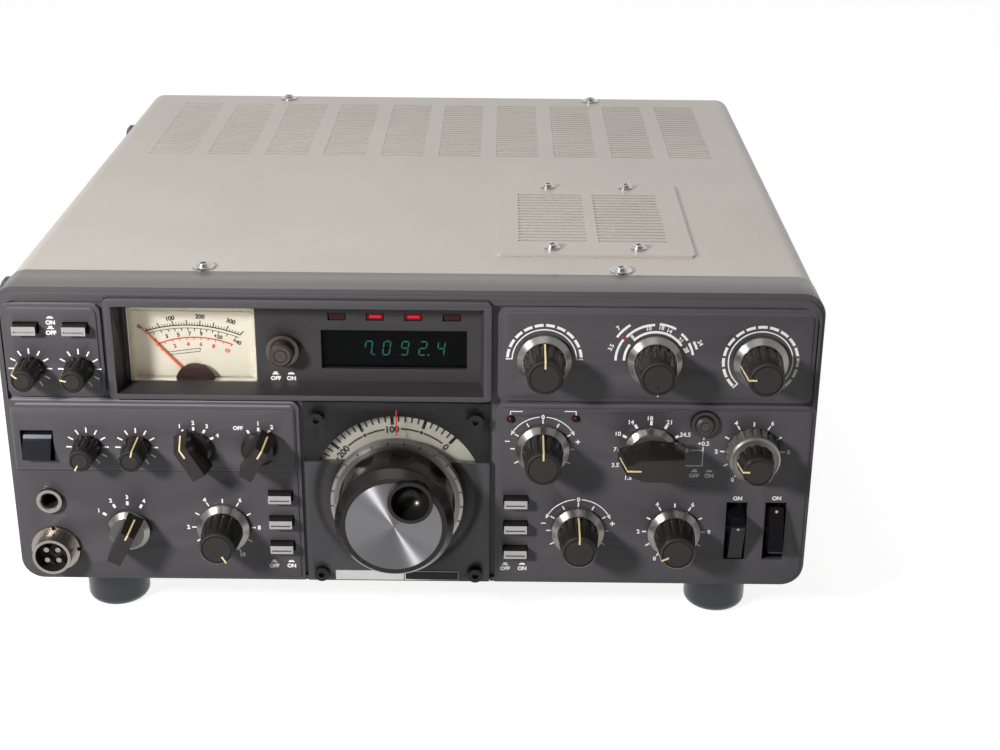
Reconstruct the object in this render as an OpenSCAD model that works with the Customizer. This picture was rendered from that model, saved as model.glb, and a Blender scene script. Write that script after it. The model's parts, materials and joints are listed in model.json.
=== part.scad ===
// Table-top HF radio transceiver with a stepped front frame, a moving-coil meter, a digital display,
// a geared tuning dial and a full set of turning, pushing and tilting controls.
// The pieces are drawn as seen from the front: x to the right, y up from the lower edge of the panel
// and z out towards the operator, with z = 0 on the front rim. seen_from_front() stands them up.

/* [Case] */
// Width over the front frame
case_w = 333; // [330:0.5:340]
// Height of the front frame
case_h = 132.2; // [131:0.1:135]
// Depth from the front rim to the outside of the rear panel
case_d = 322; // [310:1:340]
// Depth of the front frame
frame_d = 20; // [19:0.5:24]
// Outer corner radius of the front frame
corner_r = 9.5; // [8:0.5:12]
// Wall of the front frame
frame_wall = 3; // [2.5:0.1:3.5]
// Sheet thickness of the covers
sheet_t = 1.2; // [0.8:0.1:1.6]
// How far the covers stay inside the outline of the front frame
cover_inset = 0.6; // [0.3:0.1:1.5]
// Bend radius of the top cover
cover_bend_r = 8; // [5:0.5:10]
// Bend radius of the bottom cover
tray_bend_r = 5; // [3:0.5:7]
// Height of the seam between the two covers
seam_y = 36; // [32:1:40]
// Width of that seam
seam_gap = 0.6; // [0.3:0.1:1.5]
// Gap between the front frame and the covers
cover_gap = 0.3; // [0.1:0.1:0.6]

/* [Front face] */
// Floor of the grooves between the raised blocks, behind the rim
groove_depth = 1; // [0.5:0.1:1.5]
// Thickness of the wall that carries the blocks
plate_t = 3; // [2:0.1:4]
// Height of the terrace inside the rim
tier_rise = 0.7; // [0.3:0.1:1]
// Width of the rim along the top
rim_top = 2.4; // [1.5:0.1:3]
// Width of the rim at the sides
rim_side = 1.2; // [0.8:0.1:1.6]
// Inner edge of the terrace below the top
tier_top = 6; // [5:0.1:6.4]
// Inner edge of the terrace from the sides
tier_side = 2.2; // [1.8:0.1:2.6]
// Height of the border step round each block
step_rise = 1; // [0.5:0.1:1.2]
// Height of the faces that carry the controls
face_rise = 1.5; // [1.3:0.1:2]
// Width of the border step
step_w = 1.7; // [1:0.1:2.2]
// Height of the row strip above the left face
strip_rise = 0.4; // [0.2:0.1:0.6]
// Corner radius of the blocks
block_r = 3.5; // [2.5:0.1:4.5]
// Line between the upper and the lower blocks
split_y = 84.2; // [83.8:0.1:84.6]
// Half the groove along that line
split_gap = 0.7; // [0.4:0.1:1]
// Inset of the upper blocks from the sides
upper_side = 2.9; // [2.6:0.1:3.4]
// Inset of the upper blocks from the top
upper_top = 7; // [6.8:0.1:8]
// Right edge of the upper left block
upper_left_edge = -123.6; // [-124:0.1:-123]
// Left edge of the upper right block
upper_right_edge = 35.7; // [34.5:0.1:37]
// Right edge of the lower left block
lower_left_edge = -45.6; // [-46.5:0.1:-45]
// Left edge of the lower right block
lower_right_edge = 35; // [34:0.1:36]
// Lower edge of the row strip
strip_y = 52.2; // [50:0.1:53]

/* [Window] */
// Left edge of the raised window frame
window_left = -121.9; // [-122.5:0.1:-121.5]
// Right edge of the raised window frame
window_right = 33.1; // [32.5:0.1:34]
// Lower edge of the raised window frame
window_low = 84.9; // [84.6:0.1:85.5]
// Upper edge of the raised window frame
window_high = 127.9; // [127:0.1:128.5]
// Height of the window frame above the rim
window_rise = 3; // [2:0.1:4]
// Width of the frame's face
window_border = 3; // [2:0.1:4]
// Depth of the recessed panel behind the rim
recess_depth = 9; // [7:0.1:12]
// Thickness of the recessed panel
recess_t = 2; // [1.5:0.1:3]
// How far the recess narrows at its sill
recess_taper = 1.6; // [0.5:0.1:2.5]
// Overlap of the window frame on the front frame
window_lip = 1.5; // [1:0.1:2]
// Clearance of the pieces let into the front
let_in = 0.2; // [0.1:0.05:0.4]

/* [Meter] */
// Centre of the meter
meter_x = -89.4; // [-90:0.1:-88.5]
// Lower edge of the meter lens
meter_low = 88.6; // [88.4:0.1:89.5]
// Width of the meter lens
meter_w = 51.4; // [48:0.1:53]
// Height of the meter lens
meter_h = 31.4; // [29:0.1:33]
// Wall of the meter lens and rim of the meter case
lens_wall = 1.2; // [0.9:0.1:1.6]
// How far the lens stands out of the recessed panel
lens_rise = 1.5; // [1:0.1:2.5]
// Depth of the scale plate behind the recessed panel's back
scale_depth = 3.6; // [3:0.1:5]
// Depth of the meter case
meter_depth = 20; // [16:1:30]
// Drop of the needle pivot below the lens
pivot_drop = 3; // [2:0.1:4]
// Length of the needle from its pivot
needle_l = 32.4; // [30:0.1:33]
// Needle angle at rest, from upright, to the left
needle_rest = 41.5; // [38:0.5:44]
// Radius of the needle's pivot pin
needle_pin_r = 0.9; // [0.7:0.05:1.2]
// Radius of the half-round cover over the movement
movement_r = 8.3; // [7:0.1:9]
// Centre of that cover below the lens
movement_drop = 2.2; // [1:0.1:3]

/* [Display] */
// Left edge of the display opening
display_left = -36.7; // [-38:0.1:-35]
// Right edge of the display opening
display_right = 23; // [21:0.1:24]
// Lower edge of the display opening
display_low = 94.2; // [93:0.1:95]
// Height of the display opening
display_h = 17; // [15:0.1:18]
// Overlap of the smoked filter behind the opening
filter_lap = 1.5; // [1:0.1:2.5]
// Thickness of the filter
filter_t = 1.5; // [1:0.1:2]
// Thickness of the display tube
tube_t = 7; // [5:0.5:10]
// Height of the indicator windows
lamp_y = 117; // [116:0.1:118]
// First indicator window
lamp_x = -30; // [-31:0.1:-29]
// Spacing of the indicator windows
lamp_pitch = 15.6; // [15:0.1:16.2]
// Width of an indicator window
lamp_w = 6.4; // [5:0.1:8]
// Height of an indicator lens
lamp_h = 2.4; // [1.8:0.1:3]
// Radius of the two offset lamps
led_r = 1.5; // [1.2:0.1:2]
// Left offset lamp
led_left_at = [41.3, 76.9]; // [-166:0.1:166]
// Right offset lamp
led_right_at = [67.8, 77.4]; // [-166:0.1:166]

/* [Tuning dial] */
// Axis of the tuning knob
dial_at = [-5.7, 40.8]; // [-60:0.1:90]
// Left edge of the escutcheon
dial_left = -44.2; // [-44.6:0.1:-44]
// Right edge of the escutcheon
dial_right = 32.7; // [32.5:0.1:33.5]
// Lower edge of the escutcheon
dial_low = 0.8; // [0.5:0.1:1.2]
// Upper edge of the escutcheon
dial_high = 83.2; // [83:0.1:83.4]
// Height of the escutcheon's lower half above the rim
dial_face = 2; // [1.6:0.1:2.4]
// Lower edge of the clear window
dial_split = 56.8; // [55:0.1:58]
// Radius of the arch over the disc
arch_r = 36.2; // [35:0.1:36.6]
// Radius of the dish at the face
dish_r = 35.8; // [34:0.1:36]
// Radius of the dish at its floor
dish_floor_r = 31.4; // [29:0.1:33]
// Floor of the dish behind the rim
dish_depth = 0.4; // [0.2:0.1:0.5]
// Radius of the hole in that floor
dish_hole_r = 24; // [20:0.1:25]
// Radius of the graduated disc
disc_r = 37.2; // [36.8:0.1:37.4]
// Thickness of the disc
disc_t = 1.2; // [0.8:0.1:1.4]
// Hole in the front frame behind the disc
disc_well_r = 38.2; // [37.8:0.1:38.3]
// Radius of the tuning shaft
tuning_shaft_r = 4; // [3:0.1:4.5]
// Outer radius of the tuning bushing
tuning_bush_r = 7; // [6:0.1:8]
// Radius of the graduated ring
ring_r = 27.5; // [26:0.1:28.5]
// Thickness of the graduated ring
ring_t = 4.5; // [3:0.1:6]
// Radius of the knob's grip
grip_r = 24.2; // [22:0.1:25]
// Radius of the knob's front edge
brow_r = 21.6; // [20:0.1:22]
// Radius of the spun inlay
inlay_r = 19.5; // [18:0.1:20]
// Thickness of the inlay
inlay_t = 0.9; // [0.6:0.1:1.5]
// How far the knob's front stands out of the rim
tuning_out = 28; // [25:0.5:32]
// Scallops round the grip
scallops = 9; // [6:1:14]
// First scallop, degrees clockwise from upright
scallop_turn = 7; // [0:1:40]
// Depth of a scallop
scallop_depth = 1.6; // [0.8:0.1:2]
// Radius of the cutter that makes a scallop
scallop_cut_r = 12.4; // [9:0.1:14]
// Plain rim behind the scallops
scallop_rim = 1.5; // [1:0.1:3]
// Length over which a scallop runs out at its front
scallop_run = 2.5; // [1.5:0.1:4]
// Length of the bevel round the knob's front edge
brow_l = 4; // [2:0.1:5]
// Finger cup from the knob's axis
cup_at = [6.9, 11.6]; // [0:0.1:15]
// Outer radius of the finger cup
cup_r = 9.2; // [8.5:0.1:9.6]
// Inner radius of the finger cup
cup_bore_r = 7.7; // [7:0.1:8]
// How far the cup stands out of the knob's front
cup_rise = 2; // [1:0.1:3]
// Depth of the cup
cup_depth = 9.4; // [8:0.1:11]
// Hex socket screws from the escutcheon's edges
dial_screw_inset = [5.9, 6.6]; // [4:0.1:9]
// Raised foot of the lower pair of those screws
dial_screw_low = 4; // [3.8:0.1:5]
// Head radius of those screws
dial_screw_r = 3.1; // [2.5:0.1:3.2]
// Shank radius of those screws
dial_shank_r = 1.5; // [1.2:0.1:1.6]

/* [Turning controls] */
// Shaft radius of the controls
shaft_r = 3; // [2.5:0.1:3.1]
// Running clearance of every shaft
running = 0.06; // [0.03:0.01:0.09]
// Radius of the control bushings
bush_r = 4.4; // [4:0.1:4.8]
// Radius of the large controls' bodies
pot_r = 9; // [7:0.5:9.5]
// Radius of the small controls' bodies
small_pot_r = 7; // [6:0.1:7]
// Depth of the controls' bodies
pot_d = 12; // [8:0.5:16]
// Gap between the panel and the back of a knob
knob_gap = 1; // [0.6:0.1:1.5]
// Noise level knob
noise_level_at = [-153.6, 97.3]; // [-166:0.1:166]
// Vox gain knob
vox_gain_at = [-133.6, 97.3]; // [-166:0.1:166]
// Vox delay knob
vox_delay_at = [-133.4, 62.6]; // [-166:0.1:166]
// Carrier level knob
carrier_at = [-113.1, 62.6]; // [-166:0.1:166]
// Meter selector
meter_selector_at = [-89.2, 62.8]; // [-166:0.1:166]
// Gain control speed selector
agc_selector_at = [-62.5, 62.8]; // [-166:0.1:166]
// Mode selector
mode_selector_at = [-119.1, 24.3]; // [-166:0.1:166]
// Microphone gain knob
mic_gain_at = [-79.2, 25.5]; // [-166:0.1:166]
// Load knob
load_at = [54.4, 103.4]; // [-166:0.1:166]
// Plate knob
plate_at = [98.9, 103.4]; // [-166:0.1:166]
// Drive knob
drive_at = [141.6, 103.4]; // [-166:0.1:166]
// Receive offset knob
offset_at = [54.4, 63.5]; // [-166:0.1:166]
// Band selector
band_at = [98.8, 63.4]; // [-166:0.1:166]
// Audio and radio gain pair
gain_at = [141, 63.2]; // [-166:0.1:166]
// Shift knob
shift_at = [69.9, 25.6]; // [-166:0.1:166]
// Notch knob
notch_at = [110.3, 25.5]; // [-166:0.1:166]
// Skirt radius of a large knob
skirt_r = 11; // [10:0.1:12]
// Height of the skirt's cone
skirt_h = 3.2; // [2:0.1:4]
// Base radius of a large cap
cap_base_r = 8.7; // [8:0.1:9]
// Front radius of a large cap
cap_front_r = 7.2; // [6.5:0.1:8]
// How far a large cap stands out of the face
cap_out = 19.5; // [16:0.5:22]
// Flutes round a large cap
cap_flutes = 16; // [12:1:20]
// Base radius of a small knob
small_base_r = 5.8; // [5.4:0.1:6.2]
// Front radius of a small knob
small_front_r = 4.7; // [4.2:0.1:5.2]
// How far a small knob stands out of the face
small_out = 14; // [12:0.5:16]
// Flutes round a small knob
small_flutes = 10; // [8:1:14]
// Base radius of a selector
selector_base_r = 7.3; // [7:0.1:8]
// Height of that base
selector_base_h = 2; // [1.5:0.1:3]
// Length of a selector's bar
selector_bar_l = 19; // [17:0.5:22]
// Width of a selector's bar
selector_bar_w = 6.8; // [6.4:0.1:7.5]
// How far a selector stands out of the face
selector_out = 15; // [13:0.5:18]
// Slope of the bars' pointer ends from base to front
nose_lean = 3; // [1:0.1:4]
// Slope of the bars' tails
tail_lean = 1.4; // [0.6:0.1:3]
// Width of a bar's front as a share of its base
bar_share = 0.82; // [0.75:0.01:0.95]
// Tip radius of the selectors' shafts inside the bars
shaft_tip_r = 2; // [1.5:0.1:2.2]
// Skirt radius of the mode selector
mode_skirt_r = 8.9; // [8:0.1:10]
// Width of the mode selector's bar
mode_bar_w = 7.2; // [6.4:0.1:8]
// How far the mode selector stands out of the face
mode_out = 17; // [15:0.5:20]
// Skirt radius of the band selector
band_skirt_r = 10.8; // [10:0.1:12]
// Length of the band selector's bar
band_bar_l = 27; // [25:0.5:29]
// Width of the band selector's bar at its nose, its middle and its tail
band_bar_w = [5.4, 13, 10.6]; // [4:0.1:14]
// How far the band selector stands out of the face
band_out = 20; // [17:0.5:23]
// Radius of the outer gain ring
gain_ring_r = 11.1; // [10:0.1:12]
// Height of the outer gain ring
gain_ring_h = 8.4; // [7:0.1:10]
// Front radius of that ring
gain_ring_front_r = 10.3; // [9.5:0.1:11]
// Flutes round that ring
gain_ring_flutes = 20; // [14:1:28]
// Base radius of the inner gain knob
gain_cap_r = 7.6; // [7:0.1:8.5]
// Front radius of the inner gain knob
gain_cap_front_r = 6.4; // [6:0.1:7]
// Flutes round the inner gain knob
gain_cap_flutes = 12; // [10:1:16]
// Radius of the sleeve that turns the outer ring
gain_sleeve_r = 4.4; // [4.2:0.1:4.8]
// Bushing radius of the gain pair
gain_bush_r = 6; // [5.6:0.1:6.4]

/* [Pointers at rest] */
// Noise level, degrees clockwise from upright
noise_level_turn = -50; // [-150:1:150]
// Vox gain
vox_gain_turn = -80; // [-150:1:150]
// Vox delay
vox_delay_turn = -150; // [-150:1:150]
// Carrier level
carrier_turn = 13; // [-150:1:150]
// Meter selector
meter_selector_turn = -30; // [-30:30:60]
// Gain control speed selector
agc_selector_turn = 30; // [-30:30:30]
// Mode selector
mode_selector_turn = 27.5; // [-55:27.5:27.5]
// Microphone gain
mic_gain_turn = 150; // [-150:1:150]
// Load
load_turn = 0; // [-90:1:90]
// Plate
plate_turn = 180; // [-180:1:180]
// Drive
drive_turn = -90; // [-135:1:135]
// Receive offset
offset_turn = 0; // [-150:1:150]
// Band selector
band_turn = -90; // [-150:30:120]
// Audio gain
audio_turn = -90; // [-150:1:150]
// Radio gain
radio_turn = 150; // [-150:1:150]
// Shift
shift_turn = 0; // [-150:1:150]
// Notch
notch_turn = -117; // [-150:1:150]

/* [Push buttons] */
// Slot for a rectangular button
slot_size = [10.5, 5]; // [4:0.1:12]
// Clearance round a rectangular button
button_gap = [0.5, 0.65]; // [0.3:0.05:1]
// How far a rectangular button stands out of the face
button_out = 4.4; // [4:0.1:6]
// Push travel
button_travel = 3.5; // [2:0.1:4]
// Upper left pair of buttons, height
pair_y = 115.2; // [114:0.1:116]
// Left column of three buttons
left_column = [-54.6, 17.2]; // [-60:0.1:60]
// Right column of three buttons
right_column = [43.7, 16]; // [-60:0.1:60]
// Spacing of a column
column_pitch = 11.8; // [11:0.1:12.5]
// Width of the switches behind the buttons
switch_size = [9, 7, 16]; // [5:0.5:20]
// Plunger between a button and its switch
plunger_w = 2.6; // [2:0.1:3.5]
// Calibrator button
calibrator_at = [-52.3, 102.8]; // [-120:0.1:120]
// Band step button
band_step_at = [120.7, 75.7]; // [-166:0.1:166]
// Radius of the calibrator button
calibrator_r = 4.8; // [4:0.1:5]
// How far it stands out of the recessed panel
calibrator_out = 8.4; // [7:0.1:9]
// Radius of the band step button
band_step_r = 3.8; // [3:0.1:4]
// How far it stands out of the face
band_step_out = 3.6; // [3:0.1:5]
// Wall of the collars round these two
collar_wall = 1.6; // [1.2:0.1:2]
// Slot clearance of these two
collar_gap = 0.3; // [0.2:0.05:0.4]

/* [Paddles] */
// Heater paddle
heater_at = [136.3, 26.2]; // [-166:0.1:166]
// Power paddle
power_at = [152.6, 26.2]; // [-166:0.1:166]
// Slot of these two
paddle_slot = [8.8, 27]; // [8:0.1:28]
// Width and height of these two
paddle_size = [5.8, 19.4]; // [5:0.1:20]
// Front face of these two before their pivot
paddle_reach = 9.6; // [8:0.1:10]
// Send paddle
send_at = [-154, 63]; // [-166:0.1:166]
// Slot of the send paddle
send_slot = [13.6, 13.8]; // [12:0.1:16]
// Width of the send paddle
send_w = 11.6; // [10:0.1:12]
// Depth of the paddle pivots behind the rim
paddle_pivot = 2.6; // [2.5:0.1:3]
// Swing of the heater and power paddles
paddle_swing = 36; // [24:1:36]
// Thickness of the face in front of the paddle housings
slot_lip = 2.1; // [2:0.1:2.4]
// Radius of the pivot pins
paddle_pin_r = 1.2; // [1:0.05:1.5]
// Wall of the paddle housings
housing_wall = 1.6; // [1.2:0.1:2]
// Depth of the paddle housings behind the rim
housing_d = 13.4; // [13:0.1:13.6]

/* [Sockets] */
// Phones jack
phones_at = [-151.2, 38]; // [-166:0.1:166]
// Bore of a 6.35 mm jack
jack_bore_r = 3.2; // [3.18:0.01:3.3]
// Depth of the jack's bore
jack_depth = 20; // [16:1:24]
// Radius of the jack's nut
jack_nut_r = 5.3; // [4.8:0.1:6]
// How far the jack's nut stands out
jack_nut_out = 2.4; // [1.5:0.1:3]
// Microphone connector
mic_at = [-150.7, 15.2]; // [-166:0.1:166]
// Flange radius of the microphone connector
mic_flange_r = 10.2; // [9:0.1:10.4]
// Barrel radius of the microphone connector
mic_barrel_r = 8; // [7:0.1:8.5]
// How far the barrel stands out
mic_out = 9; // [7:0.1:11]
// Wall of the barrel
mic_wall = 1.2; // [0.9:0.1:1.5]
// Pin circle of the microphone connector
mic_pin_circle = 3.4; // [3:0.1:4]
// Pins of the microphone connector
mic_pins = 4; // [3:1:6]

/* [Top] */
// Left edge of the hatch plate
hatch_left = 34.8; // [30:0.1:40]
// Width of the hatch plate
hatch_w = 83.6; // [80:0.1:88]
// Front edge of the hatch plate behind the rim
hatch_front = 44; // [40:0.5:50]
// Length of the hatch plate
hatch_l = 102; // [96:0.5:108]
// Thickness of the hatch plate
hatch_t = 1; // [0.8:0.1:1.4]
// Slots in each hatch group
hatch_slots = 17; // [12:1:17]
// Spacing of the hatch slots
hatch_pitch = 4.2; // [3.5:0.1:4.2]
// Length and width of a hatch slot
hatch_slot = [29.7, 1.7]; // [1:0.1:30]
// Louver groups across the cover
louver_groups = 10; // [6:1:10]
// Spacing of the louver groups
louver_pitch = 29.3; // [29:0.1:30]
// Slots in each louver group
louver_slots = 25; // [15:1:25]
// Spacing of the louver slots
louver_step = 4.3; // [4:0.1:4.3]
// Length and width of a louver slot
louver_slot = [21.5, 1.5]; // [1:0.1:22]
// Front of the louvers behind the rim
louver_front = 199; // [190:1:200]
// Top screws from the middle
top_screw_x = 86; // [80:1:95]
// Head radius of the cover screws
screw_r = 3; // [2.5:0.1:3.5]
// Washer radius of the cover screws
washer_r = 4.7; // [4:0.1:5]
// Shank radius of the cover screws
shank_r = 1.5; // [1.2:0.1:2]
// Shank length of the cover screws
shank_l = 5; // [4:0.5:6]

/* [Feet and handle] */
// Height of the bottom feet
foot_h = 24; // [18:0.5:30]
// Radius of the bottom feet
foot_r = 13.4; // [10:0.1:15]
// Rounding under the bottom feet
foot_round = 4; // [2:0.5:6]
// Bottom feet from the middle
foot_x = 133; // [110:1:145]
// Front feet behind the rim
foot_front = 28; // [24:1:60]
// Rear feet before the rear panel
foot_rear = 34; // [20:1:60]
// How far the side feet and the handle reach out
side_reach = 9.6; // [8:0.1:12]
// Radius of the side feet
side_foot_r = 8; // [6:0.1:10]
// Upper and lower side feet, heights
side_foot_y = [20, 112]; // [16:1:116]
// Side feet from the middle of the cover
side_foot_z = 127; // [100:1:135]
// Length of the handle over its brackets
handle_l = 190; // [150:1:220]
// Height of the handle's strap
handle_w = 24; // [18:0.5:30]
// Thickness of the strap
handle_t = 3; // [2:0.1:3.5]
// Height of the handle
handle_y = 78; // [70:1:90]

/* [Rear and inside] */
// Fan from the middle
fan_at = [95, 72]; // [40:1:110]
// Width of the fan
fan_w = 80; // [70:1:84]
// How far the fan stands out of the rear panel
fan_d = 20; // [16:0.5:25]
// Least wall of the fan outside its bore
fan_rim = 3; // [2:0.1:5]
// Hub radius of the fan rotor
fan_hub_r = 15; // [12:0.5:18]
// Blades of the fan rotor
fan_blades = 7; // [5:1:9]
// Shaft radius of the fan rotor
fan_shaft_r = 2; // [1.5:0.1:3]
// Antenna connector
antenna_at = [-20, 98]; // [-40:1:40]
// Radius of the antenna connector's barrel
antenna_r = 7.9; // [7.5:0.1:8]
// How far that barrel stands out
antenna_out = 16; // [12:0.5:18]
// Bore of its centre contact
antenna_bore_r = 2; // [1.8:0.05:2.2]
// First phono socket, seen from behind
phono_at = [50, 62]; // [20:1:110]
// Spacing of the phono sockets
phono_pitch = 18; // [14:1:18]
// Bore of the phono sockets
phono_bore_r = 1.6; // [1.5:0.05:1.8]
// First round socket, seen from behind
round_socket_at = [60, 100]; // [50:1:110]
// Spacing of the round sockets
round_socket_pitch = 30; // [22:1:34]
// Bore of the round sockets
round_socket_r = 6.4; // [6:0.1:7]
// Power inlet, seen from behind
inlet_at = [132, 60]; // [50:1:140]
// Width and height of the power inlet
inlet_size = [32, 20]; // [16:1:36]
// Fuse holder, seen from behind
fuse_at = [120, 92]; // [80:1:140]
// Earth post, seen from behind
earth_at = [20, 62]; // [10:1:70]
// Height of the deck
deck_y = 34; // [28:1:36]
// Sheet thickness of the chassis
chassis_t = 1.5; // [1:0.1:2]
// Depth of the sub-panel behind the rim
sub_panel = 14; // [13:0.5:15]

/* [Hidden] */
$fn = 48;
eps = 0.01;
touch = 0.03;
half_w = case_w / 2;
cover_x = half_w - cover_inset;
cover_top = case_h - cover_inset;
cover_front = frame_d + cover_gap;
cover_l = case_d - cover_front;
cover_mid = (cover_front + case_d) / 2;
chassis_x = half_w - frame_wall - 1;
chassis_top = cover_top - sheet_t - cover_gap;
groove = -groove_depth;
plate_back = groove - plate_t;
strip = face_rise + strip_rise;
floor_out = -recess_depth;
floor_back = floor_out - recess_t;
scale_out = floor_back - scale_depth;
sub_back = -sub_panel - chassis_t;
body_gap = 0.3;
crown = 4;
line_w = 0.8;
line_d = 0.4;
button_edge = 0.8;
switch_wall = 1.2;
pot_front = sub_back - touch;
pot_back = pot_front - pot_d;
disc_front = groove - 1.4;
rear_z = -case_d;
fan_bore_r = fan_w / 2 - fan_rim;
needle_pivot = [meter_x, meter_low - pivot_drop];
front_y = -(tuning_out + cup_rise + case_d + fan_d) / 2 + tuning_out + cup_rise;

SMALL_CONTROLS = [noise_level_at, vox_gain_at, vox_delay_at, carrier_at];
SELECTORS = [meter_selector_at, agc_selector_at, mode_selector_at, band_at];
LARGE_CONTROLS = [mic_gain_at, load_at, plate_at, drive_at, offset_at, shift_at, notch_at];
PLAIN_CONTROLS = concat(SMALL_CONTROLS, SELECTORS, LARGE_CONTROLS);
PAIR_BUTTONS = [[noise_level_at[0], pair_y], [vox_gain_at[0], pair_y]];
function column(at) = [for (i = [2:-1:0]) at + [0, i * column_pitch]];
BUTTONS = concat(PAIR_BUTTONS, column(left_column), column(right_column));
PADDLES = [heater_at, power_at];
function even(w) = [w, w, w];
function housing_outer(slot) = slot + 2 * [housing_wall, housing_wall];

// Stands a piece that is drawn as seen from the front on its feet
module seen_from_front() {
    translate([0, front_y, foot_h]) rotate([90, 0, 0]) children();
}

// Turns a piece that is drawn as seen from behind round to the rear panel
module seen_from_rear() {
    seen_from_front() translate([0, 0, rear_z]) rotate([0, 180, 0]) children();
}

module at(place, z = 0) {
    translate([place[0], place[1], z]) children();
}

// Extrudes an outline between two heights
module slab(z0, z1) {
    translate([0, 0, z0]) linear_extrude(z1 - z0) children();
}

module disc(r, z0, z1) {
    translate([0, 0, z0]) cylinder(r = r, h = z1 - z0);
}

module cone(r0, r1, z0, z1) {
    translate([0, 0, z0]) cylinder(r1 = r0, r2 = r1, h = z1 - z0);
}

module round_rect(x0, y0, x1, y1, r) {
    translate([x0 + r, y0]) square([x1 - x0 - 2 * r, y1 - y0]);
    translate([x0, y0 + r]) square([x1 - x0, y1 - y0 - 2 * r]);
    for (x = [x0 + r, x1 - r], y = [y0 + r, y1 - r]) translate([x, y]) circle(r);
}

// Outline of the front frame, drawn in by a side, a top and a bottom inset
module outline(side, top, bottom) {
    round_rect(-half_w + side, bottom, half_w - side, case_h - top, corner_r - side);
}

// A raised block of the front face, cut to the frame's own outline where it reaches the edge
module block(x0, y0, x1, y1, inset) {
    intersection() {
        outline(0.3 + inset, 0.3 + inset, 0.3 + inset);
        round_rect(x0 + inset, y0 + inset, x1 - inset, y1 - inset, block_r - inset / 2);
    }
}

module stepped_block(x0, y0, x1, y1) {
    slab(groove - eps, step_rise) block(x0, y0, x1, y1, 0);
    slab(groove - eps, face_rise) block(x0, y0, x1, y1, step_w);
}

// Everything that passes through the wall of the front frame
module front_cuts() {
    for (p = PLAIN_CONTROLS) at(p) circle(bush_r + let_in);
    at(gain_at) circle(gain_bush_r + let_in);
    for (p = BUTTONS) at(p) square(slot_size, center = true);
    for (p = PADDLES) at(p) square(paddle_slot, center = true);
    at(send_at) square(send_slot, center = true);
    at(band_step_at) circle(band_step_r + collar_gap + collar_wall + let_in);
    at(phones_at) circle(jack_nut_r - 0.8);
    at(mic_at) circle(mic_barrel_r + let_in);
    for (p = [led_left_at, led_right_at]) at(p) circle(led_r + let_in);
    dial_screw_places() circle(dial_shank_r + running);
    at(dial_at) circle(disc_well_r);
    translate([window_left + window_lip, window_low + window_lip])
        square([window_right - window_left, window_high - window_low] - 2 * [window_lip, window_lip]);
}

// Room for the paddle housings behind the lips of their slots
module housing_pockets() {
    for (p = PADDLES) at(p) square(housing_outer(paddle_slot) + 2 * [let_in, let_in], center = true);
    at(send_at) square(housing_outer(send_slot) + 2 * [let_in, let_in], center = true);
}

module front_frame() color([0.27, 0.26, 0.27]) seen_from_front() difference() {
    union() {
        difference() {
            slab(-frame_d, 0) outline(0, 0, 0);
            slab(-frame_d - 1, plate_back) outline(frame_wall, frame_wall, frame_wall);
            slab(groove, 1) outline(rim_side, rim_top, rim_side);
        }
        difference() {
            slab(groove - eps, tier_rise) outline(rim_side, rim_top, rim_side);
            slab(groove - 1, tier_rise + 1) outline(tier_side, tier_top, tier_side);
        }
        stepped_block(-half_w + upper_side, split_y + split_gap, upper_left_edge, case_h - upper_top);
        stepped_block(upper_right_edge, split_y + split_gap, half_w - upper_side, case_h - upper_top);
        stepped_block(-half_w, -2 * block_r, lower_left_edge, split_y - split_gap);
        stepped_block(lower_right_edge, -2 * block_r, half_w, split_y - split_gap);
        slab(groove - eps, strip)
            round_rect(-half_w + step_w + 1, strip_y, lower_left_edge - step_w - 0.6,
                split_y - split_gap - 2 * step_w, 0.8);
    }
    slab(-frame_d - 1, window_rise + 2) front_cuts();
    slab(groove, window_rise + 2)
        round_rect(window_left - let_in, window_low - let_in, window_right + let_in,
            window_high + let_in, 2);
    slab(groove, window_rise + 2) translate([dial_left - let_in, -1])
        square([dial_right - dial_left + 2 * let_in, dial_high + let_in + 1]);
    slab(plate_back - 1, face_rise - slot_lip) housing_pockets();
}

// A box that narrows towards the back, as two crossed prisms
module window_recess() {
    lo = [window_left + window_border, window_low + window_border];
    hi = [window_right - window_border, window_high - window_border];
    t = recess_taper;
    deep = floor_out;
    rise = window_rise + eps;
    intersection() {
        translate([0, hi[1] + 1, 0]) rotate([90, 0, 0]) linear_extrude(hi[1] - lo[1] + 2)
            polygon([[lo[0] + t, deep], [hi[0] - t, deep], [hi[0], rise], [lo[0], rise]]);
        translate([lo[0] - 1, 0, 0]) rotate([90, 0, 90]) linear_extrude(hi[0] - lo[0] + 2)
            polygon([[lo[1] + t / 2, deep], [hi[1] - t, deep], [hi[1], rise], [lo[1] - t / 2, rise]]);
    }
}

module meter_outline(grow) {
    translate([meter_x - meter_w / 2 - grow, meter_low - grow]) square([meter_w, meter_h] + 2 * [grow, grow]);
}

module display_outline(grow) {
    translate([display_left - grow, display_low - grow])
        square([display_right - display_left, display_h] + 2 * [grow, grow]);
}

module lamp_places() {
    for (i = [0:3]) translate([lamp_x + i * lamp_pitch, lamp_y]) children();
}

module window_frame() color([0.27, 0.26, 0.27]) seen_from_front() difference() {
    union() {
        slab(groove + touch, window_rise) round_rect(window_left, window_low, window_right, window_high, 2);
        slab(floor_back, groove + touch + eps)
            translate([window_left + window_lip + let_in, window_low + window_lip + let_in])
                square([window_right - window_left, window_high - window_low]
                    - 2 * (window_lip + let_in) * [1, 1]);
    }
    window_recess();
    slab(floor_back - 1, floor_out + 1) meter_outline(let_in);
    slab(floor_back - 1, floor_out + 1) display_outline(0);
    slab(floor_back - 1, floor_out + 1) lamp_places() square([lamp_w + 1, lamp_h + 0.8], center = true);
    at(calibrator_at) disc(calibrator_r + collar_gap + collar_wall - 0.4, floor_back - 1, floor_out + 1);
}

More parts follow.
